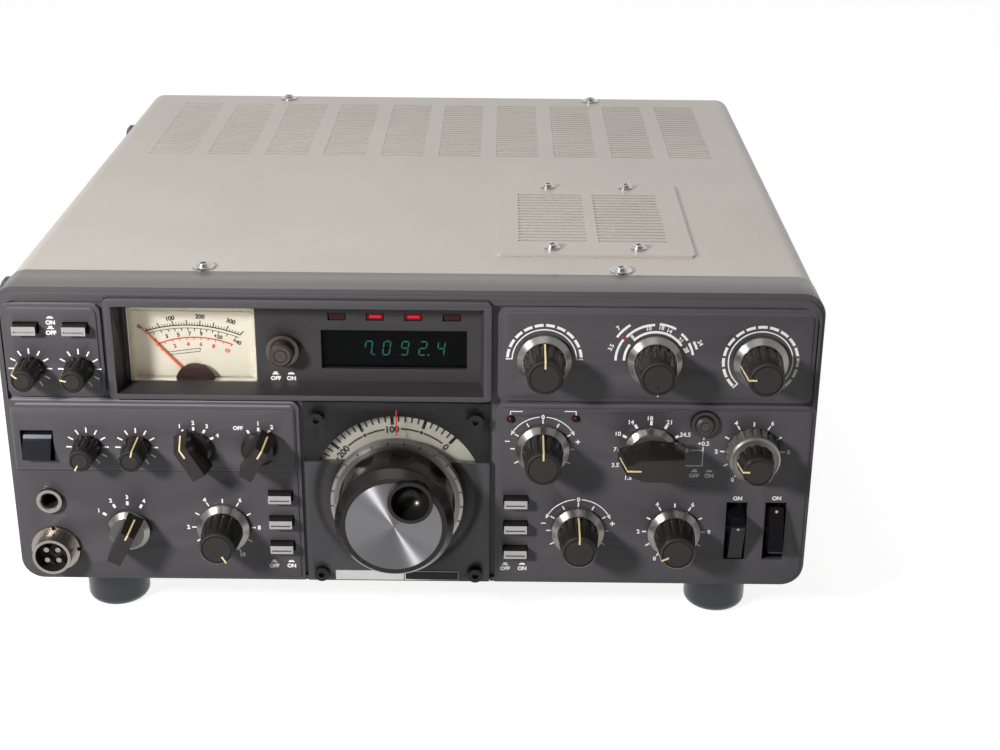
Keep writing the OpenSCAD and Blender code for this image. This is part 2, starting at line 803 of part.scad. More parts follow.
module meter_case() color([0.9, 0.87, 0.78]) seen_from_front() {
    front = floor_back - touch;
    low = needle_pivot[1] - 5;
    high = meter_low + meter_h + 1.4;
    left = meter_x - meter_w / 2 - 1.6;
    right = meter_x + meter_w / 2 + 1.6;
    wall = lens_wall + 1;
    difference() {
        slab(floor_back - meter_depth, front) translate([left, low]) square([right - left, high - low]);
        slab(scale_out, front + 1) translate([left + wall, low + wall])
            square([right - left, high - low] - 2 * [wall, wall]);
        at(needle_pivot) disc(needle_pin_r + running, scale_out - 4, scale_out + 1);
    }
    cut = meter_low - 2;
    difference() {
        at([meter_x, meter_low - movement_drop]) disc(movement_r, scale_out + 2.2, front - 0.4);
        slab(scale_out, front + 1) translate([meter_x - movement_r - 1, cut - 2 * movement_r])
            square([2 * movement_r + 2, 2 * movement_r]);
    }
    for (x = [-1, 1]) slab(scale_out - eps, front - 0.4)
        translate([meter_x + x * (movement_r - 0.8) - 0.75, cut - 2]) square([1.5, 2.4]);
}

module meter_lens() color([0.85, 0.9, 0.9, 0.4]) seen_from_front() difference() {
    slab(floor_back, floor_out + lens_rise) meter_outline(0);
    slab(floor_back - 1, floor_out + lens_rise - lens_wall) meter_outline(-lens_wall);
}

module meter_needle() color([0.85, 0.4, 0.2]) seen_from_front() at(needle_pivot) rotate([0, 0, needle_rest]) {
    slab(scale_out + 1, scale_out + 1.5)
        polygon([[-0.5, -2.6], [0.5, -2.6], [0.25, needle_l], [-0.25, needle_l]]);
    disc(1.6, scale_out + 0.4, scale_out + 1.8);
    disc(needle_pin_r, scale_out - 3.6, scale_out + 1);
}

module display_filter() color([0.08, 0.08, 0.09]) seen_from_front()
    slab(floor_back - touch - filter_t, floor_back - touch) display_outline(filter_lap);

module display_tube() color([0.1, 0.12, 0.12]) seen_from_front() {
    front = floor_back - filter_t - body_gap;
    slab(front - tube_t, front) round_rect(display_left + 3, display_low + 1.5, display_right - 3,
        display_low + display_h - 1.5, 1);
}

module indicator_lamps() color([0.6, 0.08, 0.06]) seen_from_front() {
    lamp_places() {
        slab(floor_back - 4, floor_out - 0.6) square([lamp_w, lamp_h], center = true);
        slab(floor_back - 4, floor_back - touch) square([lamp_w + 2, lamp_h + 2], center = true);
    }
    for (p = [led_left_at, led_right_at]) at(p) {
        disc(led_r, plate_back - 3, face_rise);
        translate([0, 0, face_rise]) sphere(led_r);
        disc(led_r + 0.8, plate_back - 3, plate_back - touch);
    }
}

module dial_screw_places() {
    left = dial_left + dial_screw_inset[0];
    right = dial_right - dial_screw_inset[0];
    for (x = [left, right], y = [dial_low + dial_screw_low, dial_high - dial_screw_inset[1]])
        translate([x, y, 0]) children();
}

module dial_escutcheon() color([0.2, 0.2, 0.21]) seen_from_front() difference() {
    union() {
        slab(groove + touch, 0) translate([dial_left, dial_low])
            square([dial_right - dial_left, dial_high - dial_low]);
        slab(-eps, dial_face) translate([dial_left, dial_low])
            square([dial_right - dial_left, dial_split - dial_low]);
    }
    intersection() {
        at(dial_at) disc(arch_r, groove - 1, 1);
        slab(groove - 2, 2) translate([dial_left, dial_split]) square([case_w, case_h]);
    }
    at(dial_at) cone(dish_floor_r, dish_r, -dish_depth, dial_face + touch);
    at(dial_at) disc(dish_hole_r, groove - 1, 1);
    dial_screw_places() disc(dial_shank_r + let_in, groove - 1, dial_face + 1);
}

module dial_window() color([0.8, 0.85, 0.85, 0.35]) seen_from_front() difference() {
    slab(touch, dial_face) round_rect(dial_left + let_in, dial_split + let_in, dial_right - let_in,
        dial_high - let_in, 1);
    dial_screw_places() disc(dial_shank_r + let_in, -1, dial_face + 1);
}

module dial_screws() color([0.12, 0.12, 0.13]) seen_from_front() dial_screw_places() difference() {
    union() {
        disc(dial_screw_r, dial_face + touch, dial_face + 2.6);
        disc(dial_shank_r, plate_back - 2, dial_face + 1);
    }
    translate([0, 0, dial_face + 1]) cylinder(r = 1.45, h = 3, $fn = 6);
}

module dial_disc() color([0.83, 0.81, 0.72]) seen_from_front() at(dial_at) difference() {
    union() {
        disc(disc_r, disc_front - disc_t, disc_front);
        disc(tuning_bush_r + 4, disc_front - 7, disc_front);
    }
    disc(tuning_bush_r + running, disc_front - 9, disc_front + 1);
}

// Grip with scallops between a plain rim at the back and a run-out before the front bevel
module scalloped_grip(z0, z1) {
    brow = z1 - brow_l;
    run = brow - scallop_rim - scallop_run;
    difference() {
        union() {
            disc(grip_r, z0, brow);
            cone(grip_r, brow_r, brow, z1);
        }
        for (i = [0:scallops - 1]) rotate([0, 0, 90 - scallop_turn + i * 360 / scallops])
            translate([grip_r - scallop_depth + scallop_cut_r, 0, 0]) rotate_extrude()
                polygon([[0, z0 + scallop_rim], [scallop_cut_r, z0 + scallop_rim], [scallop_cut_r, run],
                    [scallop_cut_r - 1.25 * scallop_depth, run + scallop_run], [0, run + scallop_run]]);
    }
}

module tuning_knob() color([0.2, 0.18, 0.17]) seen_from_front() at(dial_at) {
    ring_back = dial_face + 0.5;
    ring_front = ring_back + ring_t;
    cup_front = tuning_out + cup_rise;
    difference() {
        union() {
            disc(ring_r, ring_back, ring_front);
            scalloped_grip(ring_front - eps, tuning_out);
            at(cup_at) disc(cup_r, tuning_out - 8, cup_front);
        }
        difference() {
            disc(inlay_r + touch, tuning_out - inlay_t - touch, tuning_out + 1);
            at(cup_at) disc(cup_r + touch, 0, cup_front);
        }
        at(cup_at, cup_front - cup_depth + cup_bore_r) sphere(cup_bore_r);
        at(cup_at) disc(cup_bore_r, cup_front - cup_depth + cup_bore_r, cup_front + 1);
        disc(tuning_shaft_r + touch, 0, ring_front + 8);
    }
    difference() {
        disc(inlay_r, tuning_out - inlay_t, tuning_out + 0.2);
        at(cup_at) disc(cup_r + 2 * touch, 0, cup_front);
    }
    disc(tuning_shaft_r, pot_back + 2, ring_front + 8 - touch);
}

// Bushing and body of one turning control
module control_body(bush, bore, body, front) {
    difference() {
        union() {
            disc(bush, pot_front, front);
            disc(body, pot_back, pot_front);
        }
        disc(bore + running, pot_back + 1, front + 1);
    }
}

module collar(r, z0, z1, back) {
    difference() {
        union() {
            disc(r + collar_gap + collar_wall, z0, z1);
            disc(r + collar_gap + collar_wall - 1, back, z0 + eps);
            slab(back - 14, back) square(2 * (r + collar_gap + switch_wall), center = true);
        }
        disc(r + collar_gap, back - 2 - button_travel, z1 + 1);
    }
}

module paddle_housing(size) {
    difference() {
        slab(-housing_d, face_rise - slot_lip - touch) square(housing_outer(size), center = true);
        slab(-housing_d + 1.8, 0) square(size, center = true);
        translate([-size[0], 0, -paddle_pivot]) rotate([0, 90, 0])
            cylinder(r = paddle_pin_r + running, h = 2 * size[0]);
    }
}

module control_bodies() color([0.62, 0.6, 0.55]) seen_from_front() {
    front = face_rise + knob_gap - 0.4;
    for (p = SMALL_CONTROLS) at(p) control_body(bush_r, shaft_r, small_pot_r, front);
    for (p = concat(SELECTORS, LARGE_CONTROLS)) at(p) control_body(bush_r, shaft_r, pot_r, front);
    at(gain_at) control_body(gain_bush_r, gain_sleeve_r, pot_r, front);
    at(dial_at) difference() {
        union() {
            disc(tuning_bush_r, pot_front, disc_front - 0.2);
            slab(pot_back - 60, pot_front) square([62, 56], center = true);
        }
        disc(tuning_shaft_r + running, pot_back, 0);
    }
    for (p = BUTTONS) at(p) difference() {
        slab(pot_front - switch_size[2], pot_front) square([switch_size[0], switch_size[1]], center = true);
        slab(pot_front - 9 - button_travel, 0) square(plunger_w + 0.3, center = true);
    }
    at(calibrator_at) collar(calibrator_r, floor_out + touch, floor_out + 3, floor_back - 1);
    at(band_step_at) collar(band_step_r, groove - 1, face_rise + 1.4, plate_back - 2);
    for (p = PADDLES) at(p) paddle_housing(paddle_slot);
    at(send_at) paddle_housing(send_slot);
}

// Tapered cap with flutes that fade out towards its front
module fluted_cap(base_r, front_r, z0, z1, flutes) {
    lean = atan((base_r - front_r) / (z1 - z0));
    flute_r = base_r * 3.14 / flutes * 0.62;
    difference() {
        union() {
            cone(base_r, front_r, z0, z1 - 0.8);
            cone(front_r + 0.05, front_r - 0.7, z1 - 0.8, z1);
        }
        for (i = [0:flutes - 1]) rotate([0, 0, (i + 0.5) * 360 / flutes])
            translate([base_r + flute_r * 0.55, 0, z0 - 1]) rotate([0, -lean, 0])
                cylinder(r = flute_r, h = (z1 - z0) * 0.8);
        difference() {
            disc(front_r - 1, z1 - 0.4, z1 + 1);
            disc(front_r - 1.5, z1 - 1, z1 + 2);
        }
    }
}

// Groove of the pointer line over the front of a cap
module pointer_groove(base_r, front_r, z1) {
    translate([-line_w / 2, front_r * 0.45, z1 - line_d]) cube([line_w, base_r, 1]);
}

module spindle(r, z1) {
    disc(r, pot_back + 1.5, z1 - touch);
}

module large_knob(place, turn) color([0.2, 0.18, 0.17]) seen_from_front() at(place) rotate([0, 0, -turn]) {
    back = face_rise + knob_gap;
    front = face_rise + cap_out;
    difference() {
        union() {
            disc(skirt_r, back, back + 1);
            cone(skirt_r, cap_base_r + 0.2, back + 1 - eps, back + skirt_h);
            fluted_cap(cap_base_r, cap_front_r, back + skirt_h - eps, front, cap_flutes);
        }
        pointer_groove(cap_base_r, cap_front_r, front);
        disc(shaft_r + touch, back - 1, front - crown);
    }
    spindle(shaft_r, front - crown);
}

module small_knob(place, turn, face) color([0.2, 0.18, 0.17]) seen_from_front()
    at(place) rotate([0, 0, -turn]) {
    back = face + knob_gap;
    front = face + small_out;
    difference() {
        fluted_cap(small_base_r, small_front_r, back, front, small_flutes);
        pointer_groove(small_base_r, small_front_r, front);
        disc(shaft_r + touch, back - 1, front - crown);
    }
    spindle(shaft_r, front - crown);
}

// Bar of a selector from its widths at nose, middle and tail; its sides and ends lean in towards the front
module selector_bar(l, widths, z0, z1) {
    half = widths / 2;
    lean = half[1] * bar_share;
    intersection() {
        slab(z0, z1) polygon([[-half[2], -l / 2], [half[2], -l / 2], [half[1], 0], [half[0], l / 2],
            [-half[0], l / 2], [-half[1], 0]]);
        translate([0, l, 0]) rotate([90, 0, 0]) linear_extrude(2 * l)
            polygon([[-half[1], z0], [half[1], z0], [lean, z1], [-lean, z1]]);
        translate([-l, 0, 0]) rotate([90, 0, 90]) linear_extrude(2 * l)
            polygon([[-l / 2, z0], [l / 2, z0], [l / 2 - nose_lean, z1], [-l / 2 + tail_lean, z1]]);
    }
}

// Selector with a stepped shaft that ends inside its bar
module selector(place, turn, face, base_r, base_h, l, widths, out) color([0.2, 0.18, 0.17]) seen_from_front()
    at(place) rotate([0, 0, -turn]) {
    back = face + knob_gap;
    front = face + out;
    seat = back + base_h;
    difference() {
        union() {
            disc(base_r, back, back + 1);
            cone(base_r, base_r - base_h * 0.6, back + 1 - eps, seat);
            selector_bar(l, widths, seat - eps, front);
        }
        translate([-line_w / 2, 0, front - line_d]) cube([line_w, l, 1]);
        disc(shaft_r + touch, back - 1, seat + touch);
        disc(shaft_tip_r + touch, back, front - crown);
    }
    spindle(shaft_r, seat + touch);
    disc(shaft_tip_r, back, front - crown - touch);
}

module radio_gain_ring() color([0.2, 0.18, 0.17]) seen_from_front() at(gain_at) rotate([0, 0, -radio_turn]) {
    back = face_rise + knob_gap;
    front = back + gain_ring_h;
    difference() {
        union() {
            fluted_cap(gain_ring_r, gain_ring_front_r, back, front, gain_ring_flutes);
            disc(gain_sleeve_r, pot_back + 4, back + 1);
        }
        disc(gain_cap_front_r - 0.2, front - 2, front + 1);
        disc(shaft_r + running, pot_back, front + 1);
    }
}

module audio_gain_knob() color([0.2, 0.18, 0.17]) seen_from_front() at(gain_at) rotate([0, 0, -audio_turn]) {
    back = face_rise + knob_gap + gain_ring_h + body_gap;
    front = face_rise + cap_out;
    difference() {
        fluted_cap(gain_cap_r, gain_cap_front_r, back, front, gain_cap_flutes);
        pointer_groove(gain_cap_r, gain_cap_front_r, front);
        disc(shaft_r + touch, back - 1, front - crown);
    }
    spindle(shaft_r, front - crown);
}

// Square-edged cap with a plunger that reaches into its switch
module push_button(place) color([0.75, 0.74, 0.73]) seen_from_front() at(place) {
    size = slot_size - 2 * button_gap;
    front = face_rise + button_out;
    back = plate_back - 2.5;
    difference() {
        slab(back, front) square(size, center = true);
        slab(front - 0.5, front + 1) translate([0, -size[1] * 0.12])
            square([size[0] - 1.4, 0.7], center = true);
    }
    slab(pot_front - 8, back + eps) square(plunger_w, center = true);
}

module round_button(place, r, front, back) color([0.2, 0.18, 0.17]) seen_from_front() at(place)
    difference() {
        union() {
            disc(r, back, front - button_edge);
            cone(r, r - button_edge, front - button_edge - eps, front);
        }
        difference() {
            disc(r * 0.62, front - 0.5, front + 1);
            disc(r * 0.48, front - 1, front + 2);
        }
    }

// Paddle cut from its side view, on trunnions that sit in the housing walls
module paddle(place, slot, w, tilt, profile) color([0.1, 0.1, 0.11]) seen_from_front()
    at(place, -paddle_pivot) rotate([tilt, 0, 0]) {
    pin_l = slot[0] + 2 * housing_wall - 0.4;
    translate([-w / 2, 0, 0]) rotate([90, 0, 90]) linear_extrude(w) polygon(profile);
    translate([-pin_l / 2, 0, 0]) rotate([0, 90, 0]) cylinder(r = paddle_pin_r, h = pin_l);
}

// Side views from the pivot, height first and then reach towards the operator
PADDLE_SIDE = let (h = paddle_size[1] / 2, edge = 0.6) [[h - edge, paddle_reach], [h, paddle_reach - edge],
    [h, -3], [h - 2, -4], [-h + 2, -4], [-h, -3], [-h, paddle_reach - edge], [-h + edge, paddle_reach]];
SEND_SIDE = [[2.4, 5], [3, 4.2], [4.4, 3.4], [5.2, 1], [4.2, -4], [-3.4, -4], [-4, 3], [-5.2, 8],
    [-4.6, 8.6]];

module front_sockets() color([0.75, 0.73, 0.7]) seen_from_front() {
    at(phones_at) difference() {
        union() {
            disc(jack_nut_r, face_rise + touch, face_rise + jack_nut_out);
            disc(jack_nut_r - 1, sub_back + 2, face_rise + touch + eps);
            disc(jack_nut_r + 2, face_rise + jack_nut_out - jack_depth - 2, sub_back + 2);
        }
        disc(jack_bore_r, face_rise + jack_nut_out - jack_depth, face_rise + jack_nut_out + 1);
        cone(jack_bore_r, jack_bore_r + 1, face_rise + jack_nut_out - 0.8, face_rise + jack_nut_out + 0.2);
    }
    at(mic_at) {
        difference() {
            union() {
                disc(mic_flange_r, face_rise + touch, face_rise + 1.6);
                disc(mic_barrel_r, plate_back - 8, face_rise + mic_out);
            }
            disc(mic_barrel_r - mic_wall, face_rise + mic_out - 6, face_rise + mic_out + 1);
            for (a = [0, 90]) rotate([0, 0, a]) translate([mic_barrel_r + 1, -0.9, face_rise])
                cube([mic_flange_r, 1.8, 3]);
        }
        for (i = [0:mic_pins - 1]) rotate([0, 0, 45 + i * 360 / mic_pins]) translate([mic_pin_circle, 0, 0])
            disc(1.1, face_rise + mic_out - 6 - eps, face_rise + mic_out - 2);
    }
}

module sub_panel_cuts() {
    for (p = PLAIN_CONTROLS) at(p) circle(bush_r + let_in);
    at(gain_at) circle(gain_bush_r + let_in);
    at(dial_at) circle(tuning_bush_r + 5);
    for (p = BUTTONS) at(p) square(plunger_w + 1.5, center = true);
    at(band_step_at) square(2 * (band_step_r + collar_gap + switch_wall + let_in), center = true);
    at(phones_at) circle(jack_nut_r + 2 + let_in);
    at(mic_at) circle(mic_barrel_r + 1);
    translate([window_left, window_low - 8])
        square([window_right - window_left, window_high - window_low + 10]);
}

// Room inside the folded covers
module inside_covers() {
    wall = sheet_t + cover_gap;
    round_rect(-cover_x + wall, wall, cover_x - wall, cover_top - wall, cover_bend_r - sheet_t);
}

module chassis() color([0.68, 0.68, 0.66]) seen_from_front() {
    low = frame_wall + 1;
    high = case_h - low;
    back = rear_z + chassis_t + touch;
    flange_x = chassis_x - 8;
    difference() {
        union() {
            slab(sub_back, -sub_panel) translate([-chassis_x, low]) square([2 * chassis_x, high - low]);
            for (x = [-chassis_x, chassis_x - chassis_t]) difference() {
                slab(back, -sub_panel) translate([x, low]) square([chassis_t, high - low - 2]);
                for (i = [0:2]) slab(back + 20 + i * 95, back + 95 + i * 95)
                    translate([x - 1, deck_y + 17]) square([chassis_t + 2, 62]);
            }
            slab(back, -sub_panel - 1) translate([-chassis_x, deck_y]) square([2 * chassis_x, chassis_t]);
            slab(-cover_front - chassis_t, -sub_panel - 1) translate([-flange_x, high - chassis_t])
                square([2 * flange_x, chassis_t]);
            slab(-cover_front - chassis_t, -cover_front) translate([-flange_x, high - chassis_t])
                square([2 * flange_x, chassis_top - high + chassis_t]);
            slab(-cover_front - 14, -cover_front) translate([-flange_x, chassis_top - chassis_t])
                square([2 * flange_x, chassis_t]);
            slab(back, back + 14) translate([-chassis_x, chassis_top - chassis_t])
                square([2 * chassis_x, chassis_t]);
            for (x = [-chassis_x, chassis_x - 12]) slab(back, back + 12)
                translate([x, high - 8]) square([12, chassis_top - high + 8 - eps]);
        }
        slab(-sub_panel - chassis_t - 0.5, 0) sub_panel_cuts();
        slab(pot_back - 62, -sub_panel - 3) at(dial_at) square([66, 60], center = true);
        slab(pot_back - 30, sub_back) translate([-half_w, 0]) square([case_w, deck_y + chassis_t + 1]);
        top_screw_places() disc(shank_r + running, -6, 0);
        side_screw_places() disc(shank_r + running, -6, 0);
        slab(-cover_front, 0) difference() {
            translate([-case_w, -1]) square([2 * case_w, case_h]);
            outline(frame_wall + let_in, frame_wall + let_in, frame_wall + let_in);
        }
        slab(rear_z, -cover_front) difference() {
            translate([-case_w, -1]) square([2 * case_w, case_h + 2]);
            inside_covers();
        }
    }
}

module rear_panel() color([0.45, 0.44, 0.43]) seen_from_front() difference() {
    slab(rear_z, rear_z + chassis_t) inside_covers();
    at(fan_at) disc(fan_bore_r - 1, rear_z - 1, rear_z + 3);
    at(antenna_at) disc(antenna_r - 1, rear_z - 1, rear_z + 3);
}

// Folded sheet with a bend along both long edges, as an end view
module folded_sheet(bend, low, high) {
    difference() {
        round_rect(-cover_x, low, cover_x, high, bend);
        round_rect(-cover_x + sheet_t, low + sheet_t, cover_x - sheet_t, high - sheet_t, bend - sheet_t);
    }
}

function louver_centre(i) = (i - (louver_groups - 1) / 2) * louver_pitch;

// A field of slots cut down through a flat sheet
module slot_field(x, z, count, pitch, size, y) {
    for (i = [0:count - 1]) translate([x - size[0] / 2, y, -z - i * pitch - size[1]])
        cube([size[0], 8, size[1]]);
}

module top_screw_places() {
    for (x = [-1, 1], d = [frame_d + 6, case_d - 6]) translate([x * top_screw_x, cover_top, -d])
        rotate([-90, 0, 0]) children();
}

module side_screw_places() {
    for (s = [-1, 1], d = [70, case_d - 60], y = [seam_y - 9, seam_y + 9])
        translate([s * cover_x, y, -d]) rotate([0, s * 90, 0]) children();
}

module hatch_screw_places() {
    for (x = [0.28, 0.72], d = [8, hatch_l - 4.5])
        translate([hatch_left + x * hatch_w, cover_top + hatch_t, -hatch_front - d])
            rotate([-90, 0, 0]) children();
}

module top_cover() color([0.73, 0.7, 0.66]) seen_from_front() difference() {
    slab(rear_z - 0.4, -cover_front) intersection() {
        folded_sheet(cover_bend_r, 0, cover_top);
        translate([-case_w, seam_y + seam_gap]) square([2 * case_w, case_h]);
    }
    for (i = [0:louver_groups - 1])
        slot_field(louver_centre(i), louver_front, louver_slots, louver_step, louver_slot, cover_top - 4);
    translate([hatch_left + 6, cover_top - 4, -hatch_front - hatch_l + 12])
        cube([hatch_w - 12, 8, hatch_l - 28]);
    top_screw_places() disc(shank_r + 0.2, -5, 5);
    side_screw_places() disc(shank_r + 0.2, -5, 5);
    hatch_screw_places() disc(shank_r + 0.2, -5, 5);
}

module top_hatch() color([0.73, 0.7, 0.66]) seen_from_front() difference() {
    translate([0, cover_top + hatch_t, 0]) rotate([90, 0, 0]) slab(0, hatch_t - touch)
        round_rect(hatch_left, -hatch_front - hatch_l, hatch_left + hatch_w, -hatch_front, 1.5);
    for (x = [0.287, 0.7])
        slot_field(hatch_left + x * hatch_w, hatch_front + 17.5, hatch_slots, hatch_pitch, hatch_slot,
            cover_top - 3);
    hatch_screw_places() disc(shank_r + 0.2, -5, 5);
}

module bottom_cover() color([0.73, 0.7, 0.66]) seen_from_front() difference() {
    slab(rear_z - 0.4, -cover_front) intersection() {
        folded_sheet(tray_bend_r, 0, case_h);
        translate([-case_w, -1]) square([2 * case_w, seam_y + 1]);
    }
    for (x = [-90, 90]) slot_field(x, 150, 20, 5, [50, 2], -4);
    side_screw_places() disc(shank_r + 0.2, -5, 5);
}

module pan_screw(washer) {
    disc(washer, touch, 0.8);
    cone(screw_r, screw_r - 0.7, 0.8 - eps, 2.1);
    disc(shank_r, -shank_l, touch + eps);
}

module cover_screws() color([0.78, 0.76, 0.72]) seen_from_front() {
    top_screw_places() pan_screw(washer_r);
    side_screw_places() pan_screw(screw_r + 0.4);
    hatch_screw_places() pan_screw(screw_r + 0.4);
}

module rubber_feet() color([0.2, 0.22, 0.26]) seen_from_front() {
    for (x = [-foot_x, foot_x], d = [foot_front, case_d - foot_rear])
        translate([x, -touch, -d]) rotate([90, 0, 0]) rotate_extrude() {
            square([foot_r - foot_round, foot_h - touch]);
            square([foot_r, foot_h - touch - foot_round]);
            translate([foot_r - foot_round, foot_h - touch - foot_round]) circle(foot_round);
        }
    for (y = side_foot_y, d = [-side_foot_z, side_foot_z])
        translate([-cover_x - touch, y, -cover_mid + d]) rotate([0, -90, 0]) {
            disc(side_foot_r, 0, side_reach - 1.5);
            cone(side_foot_r, side_foot_r - 1.5, side_reach - 1.5 - eps, side_reach - touch);
        }
}

// A bowed strap between two end brackets on the right-hand side
module side_handle() color([0.16, 0.16, 0.17]) seen_from_front() {
    x0 = cover_x + touch;
    bracket_l = 24;
    span = handle_l - 2 * bracket_l + 8;
    foot_out = 5.5;
    sag = side_reach - touch - foot_out;
    bow_r = (span * span / 4 + sag * sag) / (2 * sag);
    translate([0, handle_y + handle_w / 2, -cover_mid]) rotate([90, 0, 0]) linear_extrude(handle_w)
        intersection() {
            translate([x0 + side_reach - touch - bow_r, 0]) difference() {
                circle(bow_r, $fn = 96);
                circle(bow_r - handle_t, $fn = 96);
            }
            translate([x0 + 1, -span / 2]) square([side_reach, span]);
        }
    for (s = [-1, 1]) translate([x0, handle_y, -cover_mid + s * (handle_l / 2 - bracket_l / 2)])
        rotate([0, 90, 0]) linear_extrude(foot_out) round_rect(-bracket_l / 2, -handle_w / 2 - 2,
            bracket_l / 2, handle_w / 2 + 2, 4);
}

module fan_frame() color([0.16, 0.16, 0.17]) seen_from_rear() at([-fan_at[0], fan_at[1]]) {
    difference() {
        slab(touch, fan_d - 2) round_rect(-fan_w / 2, -fan_w / 2, fan_w / 2, fan_w / 2, 5);
        disc(fan_bore_r, -1, fan_d);
    }
    difference() {
        union() {
            disc(fan_hub_r, touch, 3);
            for (i = [0:2]) rotate([0, 0, 30 + i * 120]) slab(touch, 2.5)
                translate([0, -3]) square([fan_bore_r + 2, 6]);
            disc(fan_shaft_r + 3, 2, 5);
        }
        disc(fan_shaft_r + running, -1, 6);
    }
    for (i = [1:4]) translate([0, 0, fan_d - 1]) rotate_extrude()
        translate([i * (fan_bore_r - 1) / 4, 0]) circle(0.9);
    for (a = [45, 135]) rotate([0, 0, a]) translate([-fan_w * 0.6, -0.9, fan_d - 2.2])
        cube([fan_w * 1.2, 1.8, 1.2]);
}

module fan_rotor() color([0.2, 0.2, 0.21]) seen_from_rear() at([-fan_at[0], fan_at[1]]) {
    disc(fan_hub_r, 5.6, fan_d - 4);
    disc(fan_shaft_r, 0.5, 6);
    for (i = [0:fan_blades - 1]) rotate([0, 0, i * 360 / fan_blades])
        translate([fan_hub_r - 1, 0, (fan_d + 1.6) / 2]) rotate([38, 0, 0])
            translate([0, -5.5, -0.8]) cube([fan_bore_r - fan_hub_r - 2, 11, 1.6]);
}

module rear_connectors() color([0.72, 0.71, 0.69]) seen_from_rear() {
    at([-antenna_at[0], antenna_at[1]]) difference() {
        union() {
            slab(touch, 2) round_rect(-12.5, -12.5, 12.5, 12.5, 1.5);
            disc(antenna_r, 2 - eps, antenna_out);
            disc(antenna_r - 1.6, -8, touch + eps);
        }
        difference() {
            disc(antenna_r - 1.4, antenna_out - 9, antenna_out + 1);
            disc(antenna_bore_r + 1.4, 0, antenna_out - 0.6);
        }
        disc(antenna_bore_r, antenna_out - 10, antenna_out + 1);
    }
    for (i = [0:1]) at(round_socket_at + [i * round_socket_pitch, 0]) difference() {
        union() {
            disc(round_socket_r + 2.6, touch, 1.5);
            disc(round_socket_r + 1, 1.5 - eps, 5);
        }
        disc(round_socket_r, 2, 6);
    }
    for (i = [0:3]) at(phono_at + [i * phono_pitch, 0]) {
        disc(6, touch, 1.2);
        difference() {
            disc(4.2, 1.2 - eps, 9);
            disc(phono_bore_r, 2, 10);
        }
    }
    at(inlet_at) {
        difference() {
            slab(touch, 6) square(inlet_size, center = true);
            slab(1.5, 7) square(inlet_size - [5, 5], center = true);
        }
        for (x = [-9, -3, 3, 9], y = [-3, 3]) translate([x - 0.6, y - 0.6, 1]) cube([1.2, 1.2, 4]);
    }
    at(fuse_at) {
        disc(9, touch, 2);
        disc(7, 2 - eps, 12);
    }
    at(earth_at) {
        disc(2.5, touch, 14);
        disc(5.5, touch, 1.5);
        disc(5, 5, 8);
        translate([-8, -1.2, 5]) cube([16, 2.4, 7]);
    }
}

module power_transformer() color([0.2, 0.2, 0.2]) seen_from_front() {
    y0 = deck_y + chassis_t + touch;
    translate([-145, y0, -case_d + 12]) cube([72, 58, 28]);
    translate([-135, y0 + 6, -case_d + 40 - eps]) cube([52, 46, 18]);
    translate([-135, y0 + 6, -case_d + 6]) cube([52, 46, 6 + eps]);
    for (x = [-141, -77], z = [-case_d + 10, -case_d + 42]) translate([x, y0, z]) cube([6, 2, 6]);
}

module circuit_boards() color([0.2, 0.35, 0.22]) seen_from_front() {
    y0 = deck_y + chassis_t + touch;
    for (b = [[-150, -205, 130, 105], [-10, -300, 60, 150]]) {
        translate([b[0], y0 + 8, b[1]]) cube([b[2], 1.6, b[3]]);
        for (x = [6, b[2] - 6], z = [6, b[3] - 6]) translate([b[0] + x, y0, b[1] + z]) rotate([-90, 0, 0])
            cylinder(r = 2.5, h = 8 + eps);
        for (i = [0:3]) translate([b[0] + 12 + i * (b[2] - 36) / 3, y0 + 9.6 - eps, b[1] + 20])
            cube([12, 14, 12]);
        for (i = [0:4]) translate([b[0] + 12 + i * (b[2] - 24) / 4, y0 + 9.6 - eps, b[1] + b[3] - 30])
            rotate([-90, 0, 0]) cylinder(r = 4, h = 18);
    }
}

module final_tubes() color([0.75, 0.78, 0.78]) seen_from_front() {
    y0 = deck_y + chassis_t + touch;
    for (x = [78, 122]) translate([x, y0, -case_d + 60]) rotate([-90, 0, 0]) {
        disc(18, 0, 8);
        disc(14, 8 - eps, 20);
        disc(15.5, 20 - eps, 68);
        translate([0, 0, 68]) cone(15.5, 4, -eps, 8);
        disc(3.5, 70, 82);
    }
}

module loudspeaker() color([0.22, 0.22, 0.23]) seen_from_front()
    translate([hatch_left + hatch_w / 2, chassis_top, -hatch_front - hatch_l / 2]) rotate([90, 0, 0])
    difference() {
        union() {
            slab(0, 1.2) round_rect(-39, -39, 39, 39, 6);
            cone(36, 18, 1.2 - eps, 18);
            disc(21, 18 - eps, 30);
        }
        cone(33, 9, -eps, 14);
    }

front_frame();
window_frame();
meter_case();
meter_lens();
meter_needle();
display_filter();
display_tube();
indicator_lamps();
dial_escutcheon();
dial_window();
dial_screws();
dial_disc();
tuning_knob();
control_bodies();
small_knob(noise_level_at, noise_level_turn, face_rise);  // noise_level_knob
small_knob(vox_gain_at, vox_gain_turn, face_rise);  // vox_gain_knob
small_knob(vox_delay_at, vox_delay_turn, strip);  // vox_delay_knob
small_knob(carrier_at, carrier_turn, strip);  // carrier_knob
selector(meter_selector_at, meter_selector_turn, strip,  // meter_selector
    selector_base_r, selector_base_h, selector_bar_l, even(selector_bar_w), selector_out);
selector(agc_selector_at, agc_selector_turn, strip,  // agc_selector
    selector_base_r, selector_base_h, selector_bar_l, even(selector_bar_w), selector_out);
selector(mode_selector_at, mode_selector_turn, face_rise,  // mode_selector
    mode_skirt_r, skirt_h, selector_bar_l, even(mode_bar_w), mode_out);
selector(band_at, band_turn, face_rise,  // band_selector
    band_skirt_r, skirt_h, band_bar_l, band_bar_w, band_out);
large_knob(mic_gain_at, mic_gain_turn);  // mic_gain_knob
large_knob(load_at, load_turn);  // load_knob
